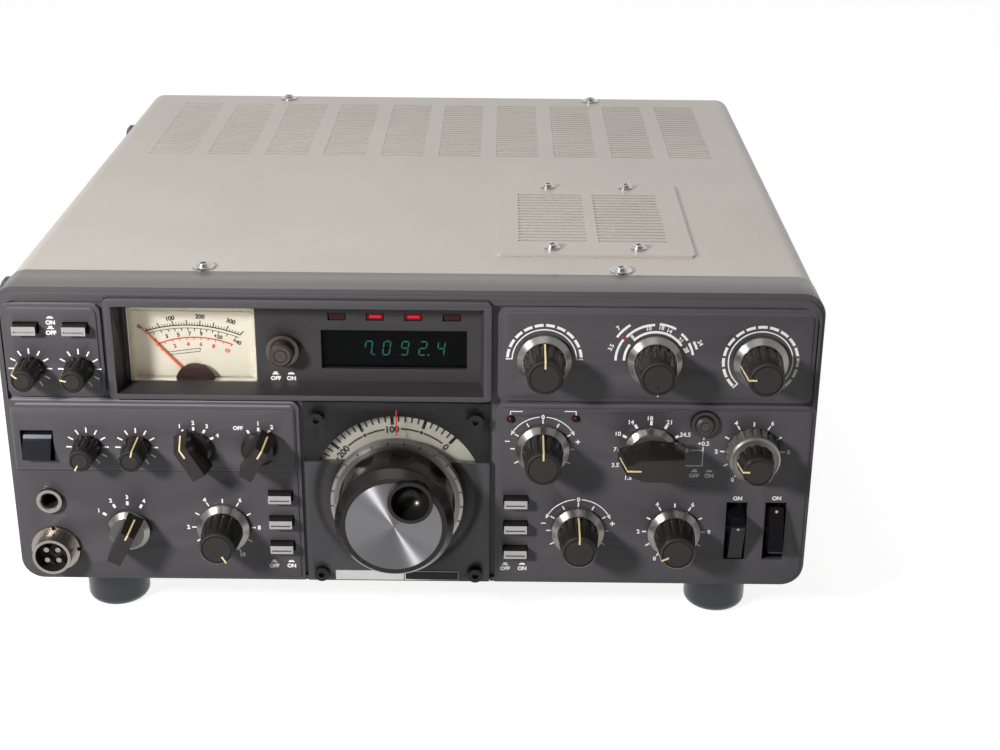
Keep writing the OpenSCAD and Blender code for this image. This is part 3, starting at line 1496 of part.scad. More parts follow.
large_knob(plate_at, plate_turn);  // plate_knob
large_knob(drive_at, drive_turn);  // drive_knob
large_knob(offset_at, offset_turn);  // offset_knob
large_knob(shift_at, shift_turn);  // shift_knob
large_knob(notch_at, notch_turn);  // notch_knob
audio_gain_knob();
radio_gain_ring();
push_button(BUTTONS[0]);  // noise_button
push_button(BUTTONS[1]);  // vox_button
push_button(BUTTONS[2]);  // narrow_button
push_button(BUTTONS[3]);  // processor_button
push_button(BUTTONS[4]);  // attenuator_button
push_button(BUTTONS[5]);  // offset_button
push_button(BUTTONS[6]);  // transmit_offset_button
push_button(BUTTONS[7]);  // notch_button
round_button(calibrator_at, calibrator_r,  // calibrator_button
    floor_out + calibrator_out, floor_back - 2.5);
round_button(band_step_at, band_step_r,  // band_step_button
    face_rise + band_step_out, plate_back - 3.5);
paddle(send_at, send_slot, send_w, 0, SEND_SIDE);  // send_paddle
paddle(heater_at, paddle_slot, paddle_size[0],  // heater_paddle
    paddle_swing / 2, PADDLE_SIDE);
paddle(power_at, paddle_slot, paddle_size[0],  // power_paddle
    -paddle_swing / 2, PADDLE_SIDE);
front_sockets();
chassis();
rear_panel();
top_cover();
top_hatch();
bottom_cover();
cover_screws();
rubber_feet();
side_handle();
fan_frame();
fan_rotor();
rear_connectors();
power_transformer();
circuit_boards();
final_tubes();
loudspeaker();
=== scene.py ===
import json
import math

import bmesh
import bpy
import numpy as np
from mathutils import Matrix, Vector
from mathutils.bvhtree import BVHTree

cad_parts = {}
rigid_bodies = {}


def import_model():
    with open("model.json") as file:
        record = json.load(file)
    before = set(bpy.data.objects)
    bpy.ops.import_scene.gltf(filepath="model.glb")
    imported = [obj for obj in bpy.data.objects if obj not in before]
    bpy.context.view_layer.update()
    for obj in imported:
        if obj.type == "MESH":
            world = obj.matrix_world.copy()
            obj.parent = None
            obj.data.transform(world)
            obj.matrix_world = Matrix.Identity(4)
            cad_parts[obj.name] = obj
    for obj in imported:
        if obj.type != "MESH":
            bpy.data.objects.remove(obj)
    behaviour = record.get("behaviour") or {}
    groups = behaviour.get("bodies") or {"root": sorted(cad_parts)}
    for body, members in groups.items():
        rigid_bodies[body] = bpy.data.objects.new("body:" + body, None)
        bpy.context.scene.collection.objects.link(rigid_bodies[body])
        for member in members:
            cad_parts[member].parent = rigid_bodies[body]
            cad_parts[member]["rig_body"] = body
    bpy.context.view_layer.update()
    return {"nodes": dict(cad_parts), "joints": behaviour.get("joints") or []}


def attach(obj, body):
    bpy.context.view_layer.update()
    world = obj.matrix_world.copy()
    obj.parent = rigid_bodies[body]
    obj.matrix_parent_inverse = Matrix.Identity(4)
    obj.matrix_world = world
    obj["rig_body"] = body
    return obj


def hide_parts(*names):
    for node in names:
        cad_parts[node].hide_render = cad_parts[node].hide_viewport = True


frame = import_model()


# Viewpoint: a hand-held camera a little to the right of the middle, looking down on the front from
# about three quarters of a metre away.
scene = bpy.context.scene
scene.view_settings.view_transform = "Standard"
eye = Vector((0.0379, -0.7812, 0.38575))
pitch, yaw, roll = math.radians(23.04), math.radians(-0.12), math.radians(0.523)
ahead = Vector((math.sin(yaw) * math.cos(pitch), math.cos(yaw) * math.cos(pitch), -math.sin(pitch)))
right = Vector((math.cos(yaw), -math.sin(yaw), 0))
up = right.cross(ahead)
across = math.cos(roll) * right + math.sin(roll) * up
upright = -math.sin(roll) * right + math.cos(roll) * up
lens = bpy.data.cameras.new("viewpoint")
lens.lens, lens.sensor_width, lens.sensor_fit = 60.26, 36, "HORIZONTAL"
camera = bpy.data.objects.new("viewpoint", lens)
camera.matrix_world = Matrix.Translation(eye) @ Matrix((across, upright, -ahead)).transposed().to_4x4()
scene.collection.objects.link(camera)
scene.camera = camera


# Table and light: a white table top that runs off into white, one soft lamp high on the left in
# front, one wide lamp overhead, and a white room that is dim on the camera's side.
def srgb(r, g, b):
    """A colour given as it looks, 0 to 255, for a node's colour socket."""
    parts = [c / 255 for c in (r, g, b)]
    return tuple(c / 12.92 if c < 0.04045 else ((c + 0.055) / 1.055) ** 2.4 for c in parts) + (1,)


def add_node(tree, kind, feeds=(), **settings):
    """A node with its settings, and with each named input linked to a socket or set to a value."""
    made = tree.nodes.new(kind)
    for key, value in settings.items():
        setattr(made, key, value)
    for key, value in dict(feeds).items():
        if isinstance(value, bpy.types.NodeSocket):
            tree.links.new(value, made.inputs[key])
        else:
            made.inputs[key].default_value = value
    return made


def seen_directly(tree):
    """1 for rays that show the surface itself, straight or through glass and polish."""
    path = add_node(tree, "ShaderNodeLightPath")
    shown = path.outputs["Is Camera Ray"]
    for name in ("Is Glossy Ray", "Is Transmission Ray"):
        either = add_node(tree, "ShaderNodeMath", {0: shown, 1: path.outputs[name]}, operation="MAXIMUM")
        shown = either.outputs[0]
    return shown


def new_tree(owner):
    """The emptied node tree of a material or of the room."""
    owner.use_nodes = True
    owner.node_tree.nodes.clear()
    return owner.node_tree


def made_mesh(name, bm):
    """Turns a worked-out form into a mesh and lets the form go."""
    mesh = bpy.data.meshes.new(name)
    bm.to_mesh(mesh)
    bm.free()
    return mesh


table_top = bpy.data.materials.new("table_top")
tree = new_tree(table_top)
mottle = add_node(tree, "ShaderNodeTexNoise", {"Scale": 3.0, "Detail": 3.0})
shade = add_node(tree, "ShaderNodeMapRange", {0: mottle.outputs[0], 3: 0.26, 4: 0.28})
body = add_node(tree, "ShaderNodeBsdfDiffuse", {"Color": shade.outputs[0]})
glow = add_node(tree, "ShaderNodeEmission", {"Color": (1, 1, 1, 1), "Strength": 0.0})
lift = add_node(tree, "ShaderNodeMath", {0: seen_directly(tree), 1: 0.88}, operation="MULTIPLY")
tree.links.new(lift.outputs[0], glow.inputs["Strength"])
both = add_node(tree, "ShaderNodeAddShader", {0: body.outputs[0], 1: glow.outputs[0]})
add_node(tree, "ShaderNodeOutputMaterial", {"Surface": both.outputs[0]})
bm = bmesh.new()
bmesh.ops.create_grid(bm, x_segments=1, y_segments=1, size=6)
mesh = made_mesh("table_top", bm)
mesh.materials.append(table_top)
table = bpy.data.objects.new("table_top", mesh)
scene.collection.objects.link(table)

room = bpy.data.worlds.new("room")
scene.world = room
tree = new_tree(room)
way = add_node(tree, "ShaderNodeSeparateXYZ", {0: add_node(tree, "ShaderNodeTexCoord").outputs["Generated"]})
behind = add_node(tree, "ShaderNodeMapRange", {0: way.outputs["Y"], 1: -0.75, 2: 0.25}).outputs[0]
dim = add_node(tree, "ShaderNodeMapRange", {0: behind, 3: 0.045, 4: 0.34}).outputs[0]
bright = add_node(tree, "ShaderNodeMapRange", {0: behind, 3: 0.16, 4: 1.0}).outputs[0]
level = add_node(tree, "ShaderNodeMix", {0: seen_directly(tree), 2: dim, 3: bright}).outputs[0]
straight = add_node(tree, "ShaderNodeLightPath").outputs["Is Camera Ray"]
level = add_node(tree, "ShaderNodeMath", {0: level, 1: straight}, operation="MAXIMUM").outputs[0]
sky = add_node(tree, "ShaderNodeBackground", {"Color": (1, 1, 1, 1), "Strength": level})
add_node(tree, "ShaderNodeOutputWorld", {"Surface": sky.outputs[0]})


def lamp(name, place, target, size, watts):
    """A round soft lamp aimed at a target."""
    light = bpy.data.lights.new(name, "AREA")
    light.shape, light.size, light.energy = "DISK", size, watts
    holder = bpy.data.objects.new(name, light)
    aim = (Vector(target) - Vector(place)).to_track_quat("-Z", "Y").to_matrix().to_4x4()
    holder.matrix_world = Matrix.Translation(place) @ aim
    scene.collection.objects.link(holder)


lamp("lamp_left", (-0.5, -0.7, 0.47), (0, -0.12, 0.08), 0.13, 8.8)
lamp("lamp_above", (-0.2, 0.15, 1.7), (0, 0, 0.1), 1.4, 9.6)


# Chassis and the works on it: a deck and sub-panel of bare sheet metal, the transformer, boards,
# tubes and loudspeaker, all screwed to the deck and hidden by the covers.
def surface_grain():
    """Node group: slow changes of tone, a fine grain in the gloss and a fine bump."""
    tree = bpy.data.node_groups.new("surface_grain", "ShaderNodeTree")
    for name, kind, value in (
        ("Color", "NodeSocketColor", (0.5, 0.5, 0.5, 1)), ("Tone", "NodeSocketFloat", 0.06),
        ("Patch", "NodeSocketFloat", 60), ("Rough", "NodeSocketFloat", 0.5),
        ("Spread", "NodeSocketFloat", 0.02), ("Grain", "NodeSocketFloat", 1500),
        ("Depth", "NodeSocketFloat", 0.01),
    ):
        tree.interface.new_socket(name, in_out="INPUT", socket_type=kind).default_value = value
    for name, kind in (("Color", "Color"), ("Roughness", "Float"), ("Normal", "Vector")):
        tree.interface.new_socket(name, in_out="OUTPUT", socket_type="NodeSocket" + kind)
    given = add_node(tree, "NodeGroupInput").outputs
    place = add_node(tree, "ShaderNodeTexCoord").outputs["Object"]
    slow = add_node(tree, "ShaderNodeTexNoise", {"Vector": place, "Scale": given["Patch"], "Detail": 3.0})
    fine = add_node(tree, "ShaderNodeTexNoise", {"Vector": place, "Scale": given["Grain"], "Detail": 4.0})
    swing = add_node(tree, "ShaderNodeMath", {0: slow.outputs[0], 1: 4.0, 2: -2.0}, operation="MULTIPLY_ADD")
    gain = add_node(tree, "ShaderNodeMath", {0: swing.outputs[0], 1: given["Tone"], 2: 1.0},
                    operation="MULTIPLY_ADD")
    tint = add_node(tree, "ShaderNodeVectorMath", {0: given["Color"], "Scale": gain.outputs[0]},
                    operation="SCALE")
    ripple = add_node(tree, "ShaderNodeMath", {0: fine.outputs[0], 1: 4.0, 2: -2.0}, operation="MULTIPLY_ADD")
    rough = add_node(tree, "ShaderNodeMath", {0: ripple.outputs[0], 1: given["Spread"], 2: given["Rough"]},
                     operation="MULTIPLY_ADD", use_clamp=True)
    bump = add_node(tree, "ShaderNodeBump", {
        "Strength": given["Depth"], "Distance": 0.0002, "Height": fine.outputs[0]})
    add_node(tree, "NodeGroupOutput", {
        "Color": tint.outputs[0], "Roughness": rough.outputs[0], "Normal": bump.outputs[0]})
    return tree


grain_group = surface_grain()


def finish(name, color, rough, grain=(), **shader):
    """A material of one colour with its own grain; shader holds the constant shader sockets."""
    made = bpy.data.materials.new(name)
    tree = new_tree(made)
    skin = tree.nodes.new("ShaderNodeGroup")
    skin.node_tree = grain_group
    skin.inputs["Color"].default_value = srgb(*color)
    skin.inputs["Rough"].default_value = rough
    for key, value in dict(grain).items():
        skin.inputs[key].default_value = value
    bsdf = add_node(tree, "ShaderNodeBsdfPrincipled", {
        "Base Color": skin.outputs["Color"], "Roughness": skin.outputs["Roughness"],
        "Normal": skin.outputs["Normal"]})
    for key, value in shader.items():
        bsdf.inputs[key.replace("_", " ")].default_value = value
    add_node(tree, "ShaderNodeOutputMaterial", {"Surface": bsdf.outputs[0]})
    return made


# The rim of the front along Y, and the height of the panel's lower edge, in mm
rim_y, panel_foot = -156, 24


def dress(piece, *coats, rule=None):
    """Gives a piece its coats. rule(x, y, out, nx, ny, nz) picks a coat for each face, in panel mm."""
    mesh = piece.data
    mesh.materials.clear()
    for coat in coats:
        mesh.materials.append(coat)
    count = len(mesh.polygons)
    pick = np.zeros(count, dtype=np.int32)
    if rule:
        centre = np.empty(count * 3)
        mesh.polygons.foreach_get("center", centre)
        normal = np.empty(count * 3)
        mesh.polygons.foreach_get("normal", normal)
        centre, normal = centre.reshape(-1, 3) * 1000, normal.reshape(-1, 3)
        x, y, out = centre[:, 0], centre[:, 2] - panel_foot, rim_y - centre[:, 1]
        pick[:] = rule(x, y, out, normal[:, 0], normal[:, 2], -normal[:, 1])
    mesh.polygons.foreach_set("material_index", pick)


works = frame["nodes"]
zinc = finish("zinc_plate", (168, 166, 158), 0.38, {"Tone": 0.12, "Patch": 35}, Metallic=0.9)
board = finish("board_lacquer", (46, 92, 62), 0.35, {"Tone": 0.15, "Patch": 120})
iron = finish("core_iron", (74, 72, 70), 0.45, {"Tone": 0.12}, Metallic=0.7)
tube_glass = finish("tube_glass", (214, 222, 220), 0.06, {"Depth": 0.0}, Transmission_Weight=0.85, IOR=1.47)
paper_cone = finish("paper_cone", (52, 50, 48), 0.8, {"Tone": 0.2, "Patch": 150})
collar_bronze = finish("collar_bronze", (92, 84, 76), 0.32, {"Tone": 0.1, "Patch": 200}, Metallic=0.7)
collar_black = finish("collar_black", (24, 23, 22), 0.2, {"Tone": 0.1, "Depth": 0.0})
for name, coat in (("chassis", zinc), ("circuit_boards", board), ("power_transformer", iron),
                   ("final_tubes", tube_glass), ("loudspeaker", paper_cone)):
    dress(works[name], coat)
calibrator_at = (-52.3, 102.8)
dress(works["control_bodies"], zinc, collar_bronze, collar_black, rule=lambda x, y, out, nx, ny, nz: np.where(
    out < -13.5, 0, np.where(np.hypot(x - calibrator_at[0], y - calibrator_at[1]) < 7.5, 1, 2)))


# Covers: two folded steel shells in warm grey baked paint with a fine texture, the hatch plate over
# the upper one, and the rear panel in the same paint, all held by small screws.
def settled(holder):
    """The mesh of an object as its modifiers or its font leave it."""
    return bpy.data.meshes.new_from_object(holder.evaluated_get(bpy.context.evaluated_depsgraph_get()))


def soften(node, width, angle=38, segments=2, reshape=None):
    """A copy of a solid with its sharp edges rounded by width mm, standing for that solid."""
    bm = bmesh.new()
    bm.from_mesh(works[node].data)
    bmesh.ops.remove_doubles(bm, verts=bm.verts, dist=2e-6)
    bmesh.ops.dissolve_limit(bm, angle_limit=math.radians(0.2), verts=bm.verts, edges=bm.edges)
    for corner in bm.verts if reshape else ():
        corner.co = reshape(corner.co)
    mesh = made_mesh(node + "_rounded", bm)
    mesh.shade_smooth()
    holder = bpy.data.objects.new(node + "_rounded", mesh)
    scene.collection.objects.link(holder)
    round_off = holder.modifiers.new("round_off", "BEVEL")
    round_off.width, round_off.segments = width / 1000, segments
    round_off.limit_method, round_off.angle_limit = "ANGLE", math.radians(angle)
    round_off.use_clamp_overlap, round_off.harden_normals = True, True
    final = settled(holder)
    holder.modifiers.remove(round_off)
    holder.data = final
    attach(holder, works[node]["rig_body"])
    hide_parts(node)
    return holder


cover_paint = finish("cover_paint", (181, 173, 164), 0.42,
                     {"Tone": 0.05, "Patch": 14, "Grain": 1100, "Depth": 0.22, "Spread": 0.1})
back_paint = finish("back_paint", (160, 155, 148), 0.45, {"Tone": 0.06, "Patch": 18, "Depth": 0.15})
screw_steel = finish("screw_steel", (190, 188, 184), 0.24, {"Tone": 0.08, "Patch": 300}, Metallic=1.0)
shadow_black = finish("shadow_black", (14, 14, 14), 0.7, {"Tone": 0.1})
for name in ("top_cover", "bottom_cover", "top_hatch"):
    dress(works[name], cover_paint)
dress(works["rear_panel"], back_paint)
dress(works["cover_screws"], screw_steel)


# Rear: the cast fan frame with its guard and black rotor, and the connectors for antenna, supply,
# speaker and accessories, screwed through the rear panel.
fan_black = finish("fan_black", (30, 30, 31), 0.42, {"Tone": 0.1, "Patch": 80})
fan_blade = finish("fan_blade", (46, 46, 48), 0.35, {"Tone": 0.1, "Patch": 60})
connector = finish("connector_metal", (186, 184, 176), 0.28, {"Tone": 0.1, "Patch": 200}, Metallic=0.95)
dress(works["fan_frame"], fan_black)
dress(works["fan_rotor"], fan_blade)
socket_black = finish("socket_black", (26, 25, 25), 0.4, {"Tone": 0.1, "Patch": 120})
case_depth, supply_at, fuse_at = 322, (-132, 60), (-120, 92)


def rear_coat(x, y, out, nx, ny, nz):
    """Metal shells and pins; black for the supply block, the fuse cap and the sockets' inserts."""
    behind = -case_depth - out
    dx, dy = np.abs(x - supply_at[0]), np.abs(y - supply_at[1])
    block = (dx < 16.5) & (dy < 10.5)
    pins = block & (behind > 1.6) & (dx < 10) & (dy < 4)
    dark = block & ~pins | (np.hypot(x - fuse_at[0], y - fuse_at[1]) < 9.1)
    for cx, cy, r, floor in ((-60, 100, 6.2, 2.1), (-90, 100, 6.2, 2.1), (20, 98, 6.2, 7.2)):
        dark = dark | (np.hypot(x - cx, y - cy) < r) & (behind < floor)
    return np.where(dark, 1, 0)


dress(works["rear_connectors"], connector, socket_black, rule=rear_coat)


# Feet and handle: moulded dark rubber feet under the case and on its left side, and on the right
# side a vinyl strap between two plated end caps.
rubber = finish("foot_rubber", (26, 29, 38), 0.3, {"Tone": 0.12, "Patch": 120, "Depth": 0.12},
                Coat_Weight=0.2)
vinyl = finish("strap_vinyl", (32, 31, 31), 0.4, {"Tone": 0.1, "Patch": 150, "Depth": 0.3})
dress(works["rubber_feet"], rubber)
dress(works["side_handle"], vinyl)


# Front frame: one die casting with a stepped rim and four raised blocks, painted dark satin grey.
# The scales are printed on it in white ink. Glints along some edges of the blocks are painted
# highlights, and a dark line under the middle row at the left is a painted shadow, both tones in the paint.
def panel(x, y, out):
    """A point on the front in mm: x to the right, y up from the panel's lower edge, out of the rim."""
    return Vector((x, rim_y - out, y + panel_foot)) / 1000


front_grain = {"Tone": 0.05, "Patch": 16, "Grain": 2200, "Depth": 0.06, "Spread": 0.05}
front_paint = finish("front_paint", (72, 70, 73), 0.38, front_grain, Specular_IOR_Level=0.35)
# A lighter copy of the front paint: painted light on the upward faces of the top rim and on its top band.
rim_paint = finish("rim_paint", (86, 81, 80), 0.34, front_grain, Specular_IOR_Level=0.8)


def shader_of(coat):
    """The surface shader of a coat."""
    return next(n for n in coat.node_tree.nodes if n.type == "BSDF_PRINCIPLED")


def scale_tone(coat, level):
    """Multiplies a coat's colour by a level that its own nodes work out."""
    color = shader_of(coat).inputs["Base Color"]
    tone = add_node(coat.node_tree, "ShaderNodeVectorMath", {0: color.links[0].from_socket, "Scale": level},
                    operation="SCALE")
    coat.node_tree.links.new(tone.outputs[0], color)


def tone_lines(coat, spots):
    """Paints light and shade into a coat in boxes of the front: x0, y0, x1, y1 in mm, and a gain."""
    tree = coat.node_tree
    place = add_node(tree, "ShaderNodeTexCoord").outputs["Object"]
    for x0, y0, x1, y1, gain in spots:
        low, high = panel(x0, y0, 0), panel(x1, y1, 0)
        away = add_node(tree, "ShaderNodeVectorMath", {0: place, 1: (low + high) / 2}, operation="SUBTRACT")
        away = add_node(tree, "ShaderNodeVectorMath", {0: away.outputs[0]}, operation="ABSOLUTE")
        away = add_node(tree, "ShaderNodeVectorMath", {0: away.outputs[0], 1: (high - low) / 2},
                        operation="SUBTRACT")
        side = add_node(tree, "ShaderNodeSeparateXYZ", {0: away.outputs[0]}).outputs
        past = add_node(tree, "ShaderNodeMath", {0: side["X"], 1: side["Z"]}, operation="MAXIMUM")
        level = add_node(tree, "ShaderNodeMapRange", {
            0: past.outputs[0], 1: -0.0001, 2: 0.0001, 3: gain, 4: 1.0})
        scale_tone(coat, level.outputs[0])


# Painted highlights on the upper and left edges of the lower left block, on the edge of its middle strip and
# on the upper edge of the lower right block; the box with a gain of 0.5 is a painted shadow under the strip.
tone_lines(front_paint, (
    (-163.0, 83.0, -47.2, 83.6, 3.2), (-161.4, 81.3, -48.9, 81.9, 3.2), (-163.6, 52.1, -48.2, 52.6, 1.7),
    (-163.6, 51.4, -48.2, 52.0, 0.5), (-164.0, 52.4, -163.4, 80.0, 1.7), (35.5, 83.1, 163.0, 83.6, 1.5)))
# Painted highlights along the steps of the top rim at both ends.
tone_lines(rim_paint, (
    (-162.5, 124.7, -125.2, 125.3, 2.4), (-160.8, 123.0, -127.0, 123.6, 2.4),
    (38.0, 124.8, 162.5, 125.3, 1.6), (40.0, 123.1, 161.0, 123.6, 1.6)))
front = soften("front_frame", 0.3)
dress(front, front_paint, rim_paint,
      rule=lambda x, y, out, nx, ny, nz: np.where((ny > 0.3) & (y > 118) | (y > 122.5), 1, 0))
white_ink = finish("white_ink", (244, 243, 239), 0.55, {"Tone": 0.04, "Patch": 400})


def facing(*names):
    """The front surfaces of some pieces, to find how far out the print on them lies."""
    trees = []
    for name in names:
        mesh = works[name].data
        trees.append(BVHTree.FromPolygons([v.co for v in mesh.vertices], [p.vertices for p in mesh.polygons]))

    def out_at(x, y):
        hits = [t.ray_cast(panel(x, y, 60), Vector((0, 1, 0)))[0] for t in trees]
        return max([rim_y - h.y * 1000 for h in hits if h], default=0.0)
    return out_at


front_out = facing("front_frame", "window_frame", "dial_escutcheon")


def ring_of_marks():
    """Geometry node tree: bars round a centre, from an inner to an outer radius, at even angles."""
    tree = bpy.data.node_groups.new("ring_of_marks", "GeometryNodeTree")
    face = tree.interface
    face.new_socket("Count", in_out="INPUT", socket_type="NodeSocketInt")
    for name in ("Inner", "Outer", "Start", "Step", "Width", "Thickness"):
        face.new_socket(name, in_out="INPUT", socket_type="NodeSocketFloat")
    face.new_socket("Ink", in_out="INPUT", socket_type="NodeSocketMaterial")
    face.new_socket("Marks", in_out="OUTPUT", socket_type="NodeSocketGeometry")
    given = add_node(tree, "NodeGroupInput").outputs

    def reckon(operation, a, b=0.0, c=0.0):
        return add_node(tree, "ShaderNodeMath", {0: a, 1: b, 2: c}, operation=operation).outputs[0]
    index = add_node(tree, "GeometryNodeInputIndex").outputs[0]
    angle = reckon("MULTIPLY_ADD", index, given["Step"], given["Start"])
    middle = reckon("MULTIPLY", reckon("ADD", given["Inner"], given["Outer"]), 0.5)
    spot = add_node(tree, "ShaderNodeCombineXYZ", {
        "X": reckon("MULTIPLY", reckon("SINE", angle), middle),
        "Z": reckon("MULTIPLY", reckon("COSINE", angle), middle)})
    line = add_node(tree, "GeometryNodeMeshLine", {"Count": given["Count"]}, mode="OFFSET")
    spread = add_node(tree, "GeometryNodeSetPosition", {
        "Geometry": line.outputs[0], "Position": spot.outputs[0]})
    size = add_node(tree, "ShaderNodeCombineXYZ", {
        "X": given["Width"], "Y": given["Thickness"],
        "Z": reckon("SUBTRACT", given["Outer"], given["Inner"])})
    bar = add_node(tree, "GeometryNodeMeshCube", {"Size": size.outputs[0]})
    lean = add_node(tree, "ShaderNodeCombineXYZ", {"Y": angle})
    turn = add_node(tree, "FunctionNodeEulerToRotation", {0: lean.outputs[0]})
    bars = add_node(tree, "GeometryNodeInstanceOnPoints", {
        "Points": spread.outputs[0], "Instance": bar.outputs[0], "Rotation": turn.outputs[0]})
    solid = add_node(tree, "GeometryNodeRealizeInstances", {"Geometry": bars.outputs[0]})
    inked = add_node(tree, "GeometryNodeSetMaterial", {
        "Geometry": solid.outputs[0], "Material": given["Ink"]})
    add_node(tree, "NodeGroupOutput", {"Marks": inked.outputs[0]})
    return tree


marks_tree = ring_of_marks()


def made_plain(tree, values):
    """The mesh that a geometry tree makes from named inputs."""
    holder = bpy.data.objects.new("maker", bpy.data.meshes.new("maker"))
    scene.collection.objects.link(holder)
    maker = holder.modifiers.new("maker", "NODES")
    maker.node_group = tree
    for item in tree.interface.items_tree:
        if item.in_out == "INPUT" and item.name in values:
            maker[item.identifier] = values[item.name]
    mesh = settled(holder)
    holder.modifiers.remove(maker)
    bpy.data.objects.remove(holder)
    return mesh


def ticks(x, y, out, count, start, step, inner, outer, width, ink, thick=0.08):
    """A ring of marks about a point of the front; degrees clockwise from upright, sizes in mm."""
    mesh = made_plain(marks_tree, {
        "Count": count, "Inner": inner / 1000, "Outer": outer / 1000, "Start": math.radians(start),
        "Step": math.radians(step), "Width": width / 1000, "Thickness": thick / 1000, "Ink": ink})
    mesh.transform(Matrix.Translation(panel(x, y, out + thick / 2)))
    return mesh


def prisms(outlines, out, thick=0.08):
    """Flat prints with these outlines, each lying at its own level: out is a number or a function."""
    bm = bmesh.new()
    for points in outlines:
        mid = [sum(p[i] for p in points) / len(points) for i in (0, 1)]
        base = out(*mid) if callable(out) else out
        lower = [bm.verts.new(panel(x, y, base - 0.02)) for x, y in points]
        upper = [bm.verts.new(panel(x, y, base + thick)) for x, y in points]
        bm.faces.new(upper)
        bm.faces.new(lower[::-1])
        for i in range(len(points)):
            j = (i + 1) % len(points)
            bm.faces.new((lower[i], lower[j], upper[j], upper[i]))
    bmesh.ops.recalc_face_normals(bm, faces=bm.faces)
    return made_mesh("prints", bm)


def around(x, y, r, a):
    """The point at a radius from another one, a degrees clockwise from upright."""
    return x + r * math.sin(math.radians(a)), y + r * math.cos(math.radians(a))


def arcs(x, y, r, a0, a1, width):
    """Outlines of an arc, in short pieces so that each lies flat on the level below it."""
    count = max(1, round(abs(a1 - a0) / 6))
    cuts = [a0 + (a1 - a0) * i / count for i in range(count + 1)]
    return [[around(x, y, r + s * width / 2, a) for s, a in ((1, p), (1, q), (-1, q), (-1, p))]
            for p, q in zip(cuts, cuts[1:])]


def stroke(x0, y0, x1, y1, width):
    """Outline of a straight line."""
    side = Vector((y0 - y1, x1 - x0)).normalized() * width / 2
    return [[(x0 - side.x, y0 - side.y), (x1 - side.x, y1 - side.y),
             (x1 + side.x, y1 + side.y), (x0 + side.x, y0 + side.y)]]


def box(x0, y0, x1, y1):
    """Outline of an upright rectangle."""
    return [(x0, y0), (x1, y0), (x1, y1), (x0, y1)]


def figures(text, x, y, out, height, turn=0, bold=0.04, thick=0.08):
    """Printed figures, centred on a point of the front."""
    curve = bpy.data.curves.new("figures", "FONT")
    curve.body, curve.offset, curve.extrude = text, bold - (0.01 if "6" in text else 0), 0.5
    holder = bpy.data.objects.new("figures", curve)
    scene.collection.objects.link(holder)
    mesh = settled(holder)
    bpy.data.objects.remove(holder)
    low = [min(v.co[i] for v in mesh.vertices) for i in range(2)]
    high = [max(v.co[i] for v in mesh.vertices) for i in range(2)]
    scale = height / max(0.55, high[1] - low[1]) / 1000
    centre = Matrix.Translation((-(low[0] + high[0]) / 2, -(low[1] + high[1]) / 2, 0))
    size = Matrix.Diagonal((scale, scale, thick / 1000, 1))
    stand = Matrix.Rotation(math.radians(90), 4, "X")
    lean = Matrix.Rotation(math.radians(turn), 4, "Y")
    base = out(x, y) if callable(out) else out
    mesh.transform(Matrix.Translation(panel(x, y, base + thick / 2 - 0.01)) @ lean @ stand @ size @ centre)
    return mesh


def gather(name, meshes, coat, body):
    """One piece from several meshes, in one coat, moving with a body."""
    bm = bmesh.new()
    for mesh in meshes:
        bm.from_mesh(mesh)
        bpy.data.meshes.remove(mesh)
    mesh = made_mesh(name, bm)
    mesh.materials.clear()
    mesh.materials.append(coat)
    mesh.polygons.foreach_set("material_index", [0] * len(mesh.polygons))
    piece = bpy.data.objects.new(name, mesh)
    scene.collection.objects.link(piece)
    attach(piece, body)
    return piece


# Where each turning control sits on the front, from its hinge in the frame
control_at = {}
for joint in frame["joints"]:
    if joint["type"] == "hinge":
        x, _, z = joint["pos_m"]
        control_at[joint["child"]] = (round(x * 1000, 3), round(z * 1000 - panel_foot, 3))
scale_rings = (
    # controls, count, start, step, inner, outer, width
    (("mic_gain_knob", "notch_knob", "audio_gain_knob"), 11, -150, 30, 11.5, 13.4, 0.6),
    (("offset_knob", "shift_knob"), 9, -120, 30, 11.4, 13.3, 0.55),
    (("noise_level_knob", "vox_gain_knob", "vox_delay_knob", "carrier_knob"), 11, -150, 30, 6.5, 8.8, 0.6),
    (("meter_selector",), 4, -30, 30, 7.7, 9.3, 1.0),
    (("agc_selector",), 3, -30, 30, 7.7, 9.3, 1.0),
    (("mode_selector",), 4, -55, 27.5, 11.2, 13.0, 1.1),
    (("band_selector",), 9, -150, 30, 11.4, 13.3, 1.1),
)
printed, flat = [], []
for names, count, start, step, inner, outer, width in scale_rings:
    for x, y in [control_at[name] for name in names]:
        out = front_out(*around(x, y, (inner + outer) / 2, start))
        printed.append(ticks(x, y, out, count, start, step, inner, outer, width, white_ink))
for x, y in [control_at[name] for name in scale_rings[0][0]]:
    for i in range(6):
        printed.append(figures(str(2 * i), *around(x, y, 14.9, 60 * i - 150), front_out, 2.0))
for name, r, start, step in (("meter_selector", 11.2, -30, 30), ("mode_selector", 15.0, -55, 27.5)):
    for i in range(4):
        spot = around(*control_at[name], r, start + i * step)
        printed.append(figures(str(i + 1), *spot, front_out, 1.9))
printed.append(figures("OFF", -70.8, 71.8, front_out, 1.8))
for i, a in enumerate((0, 30)):
    printed.append(figures(str(i + 1), *around(*control_at["agc_selector"], 11.2, a), front_out, 1.9))
for name, r, reach in (("offset_knob", 14.5, 65), ("shift_knob", 14.7, 68)):
    x, y = control_at[name]
    printed.append(figures("0", *around(x, y, r, 0), front_out, 2.0))
    for side in (-1, 1):
        flat += arcs(x, y, r, side * 5.5, side * (reach - 6), 0.4)
        flat.append([around(x, y, r, side * reach), around(x, y, r + 0.9, side * (reach - 9)),
                     around(x, y, r, side * (reach - 6.5)), around(x, y, r - 0.9, side * (reach - 9))])
        px, py = x + side * 14.5, y + 3.4
        flat += stroke(px - 1, py, px + 1, py, 0.5)
        if side > 0:
            flat += stroke(px, py - 1, px, py - 0.26, 0.5) + stroke(px, py + 0.26, px, py + 1, 0.5)
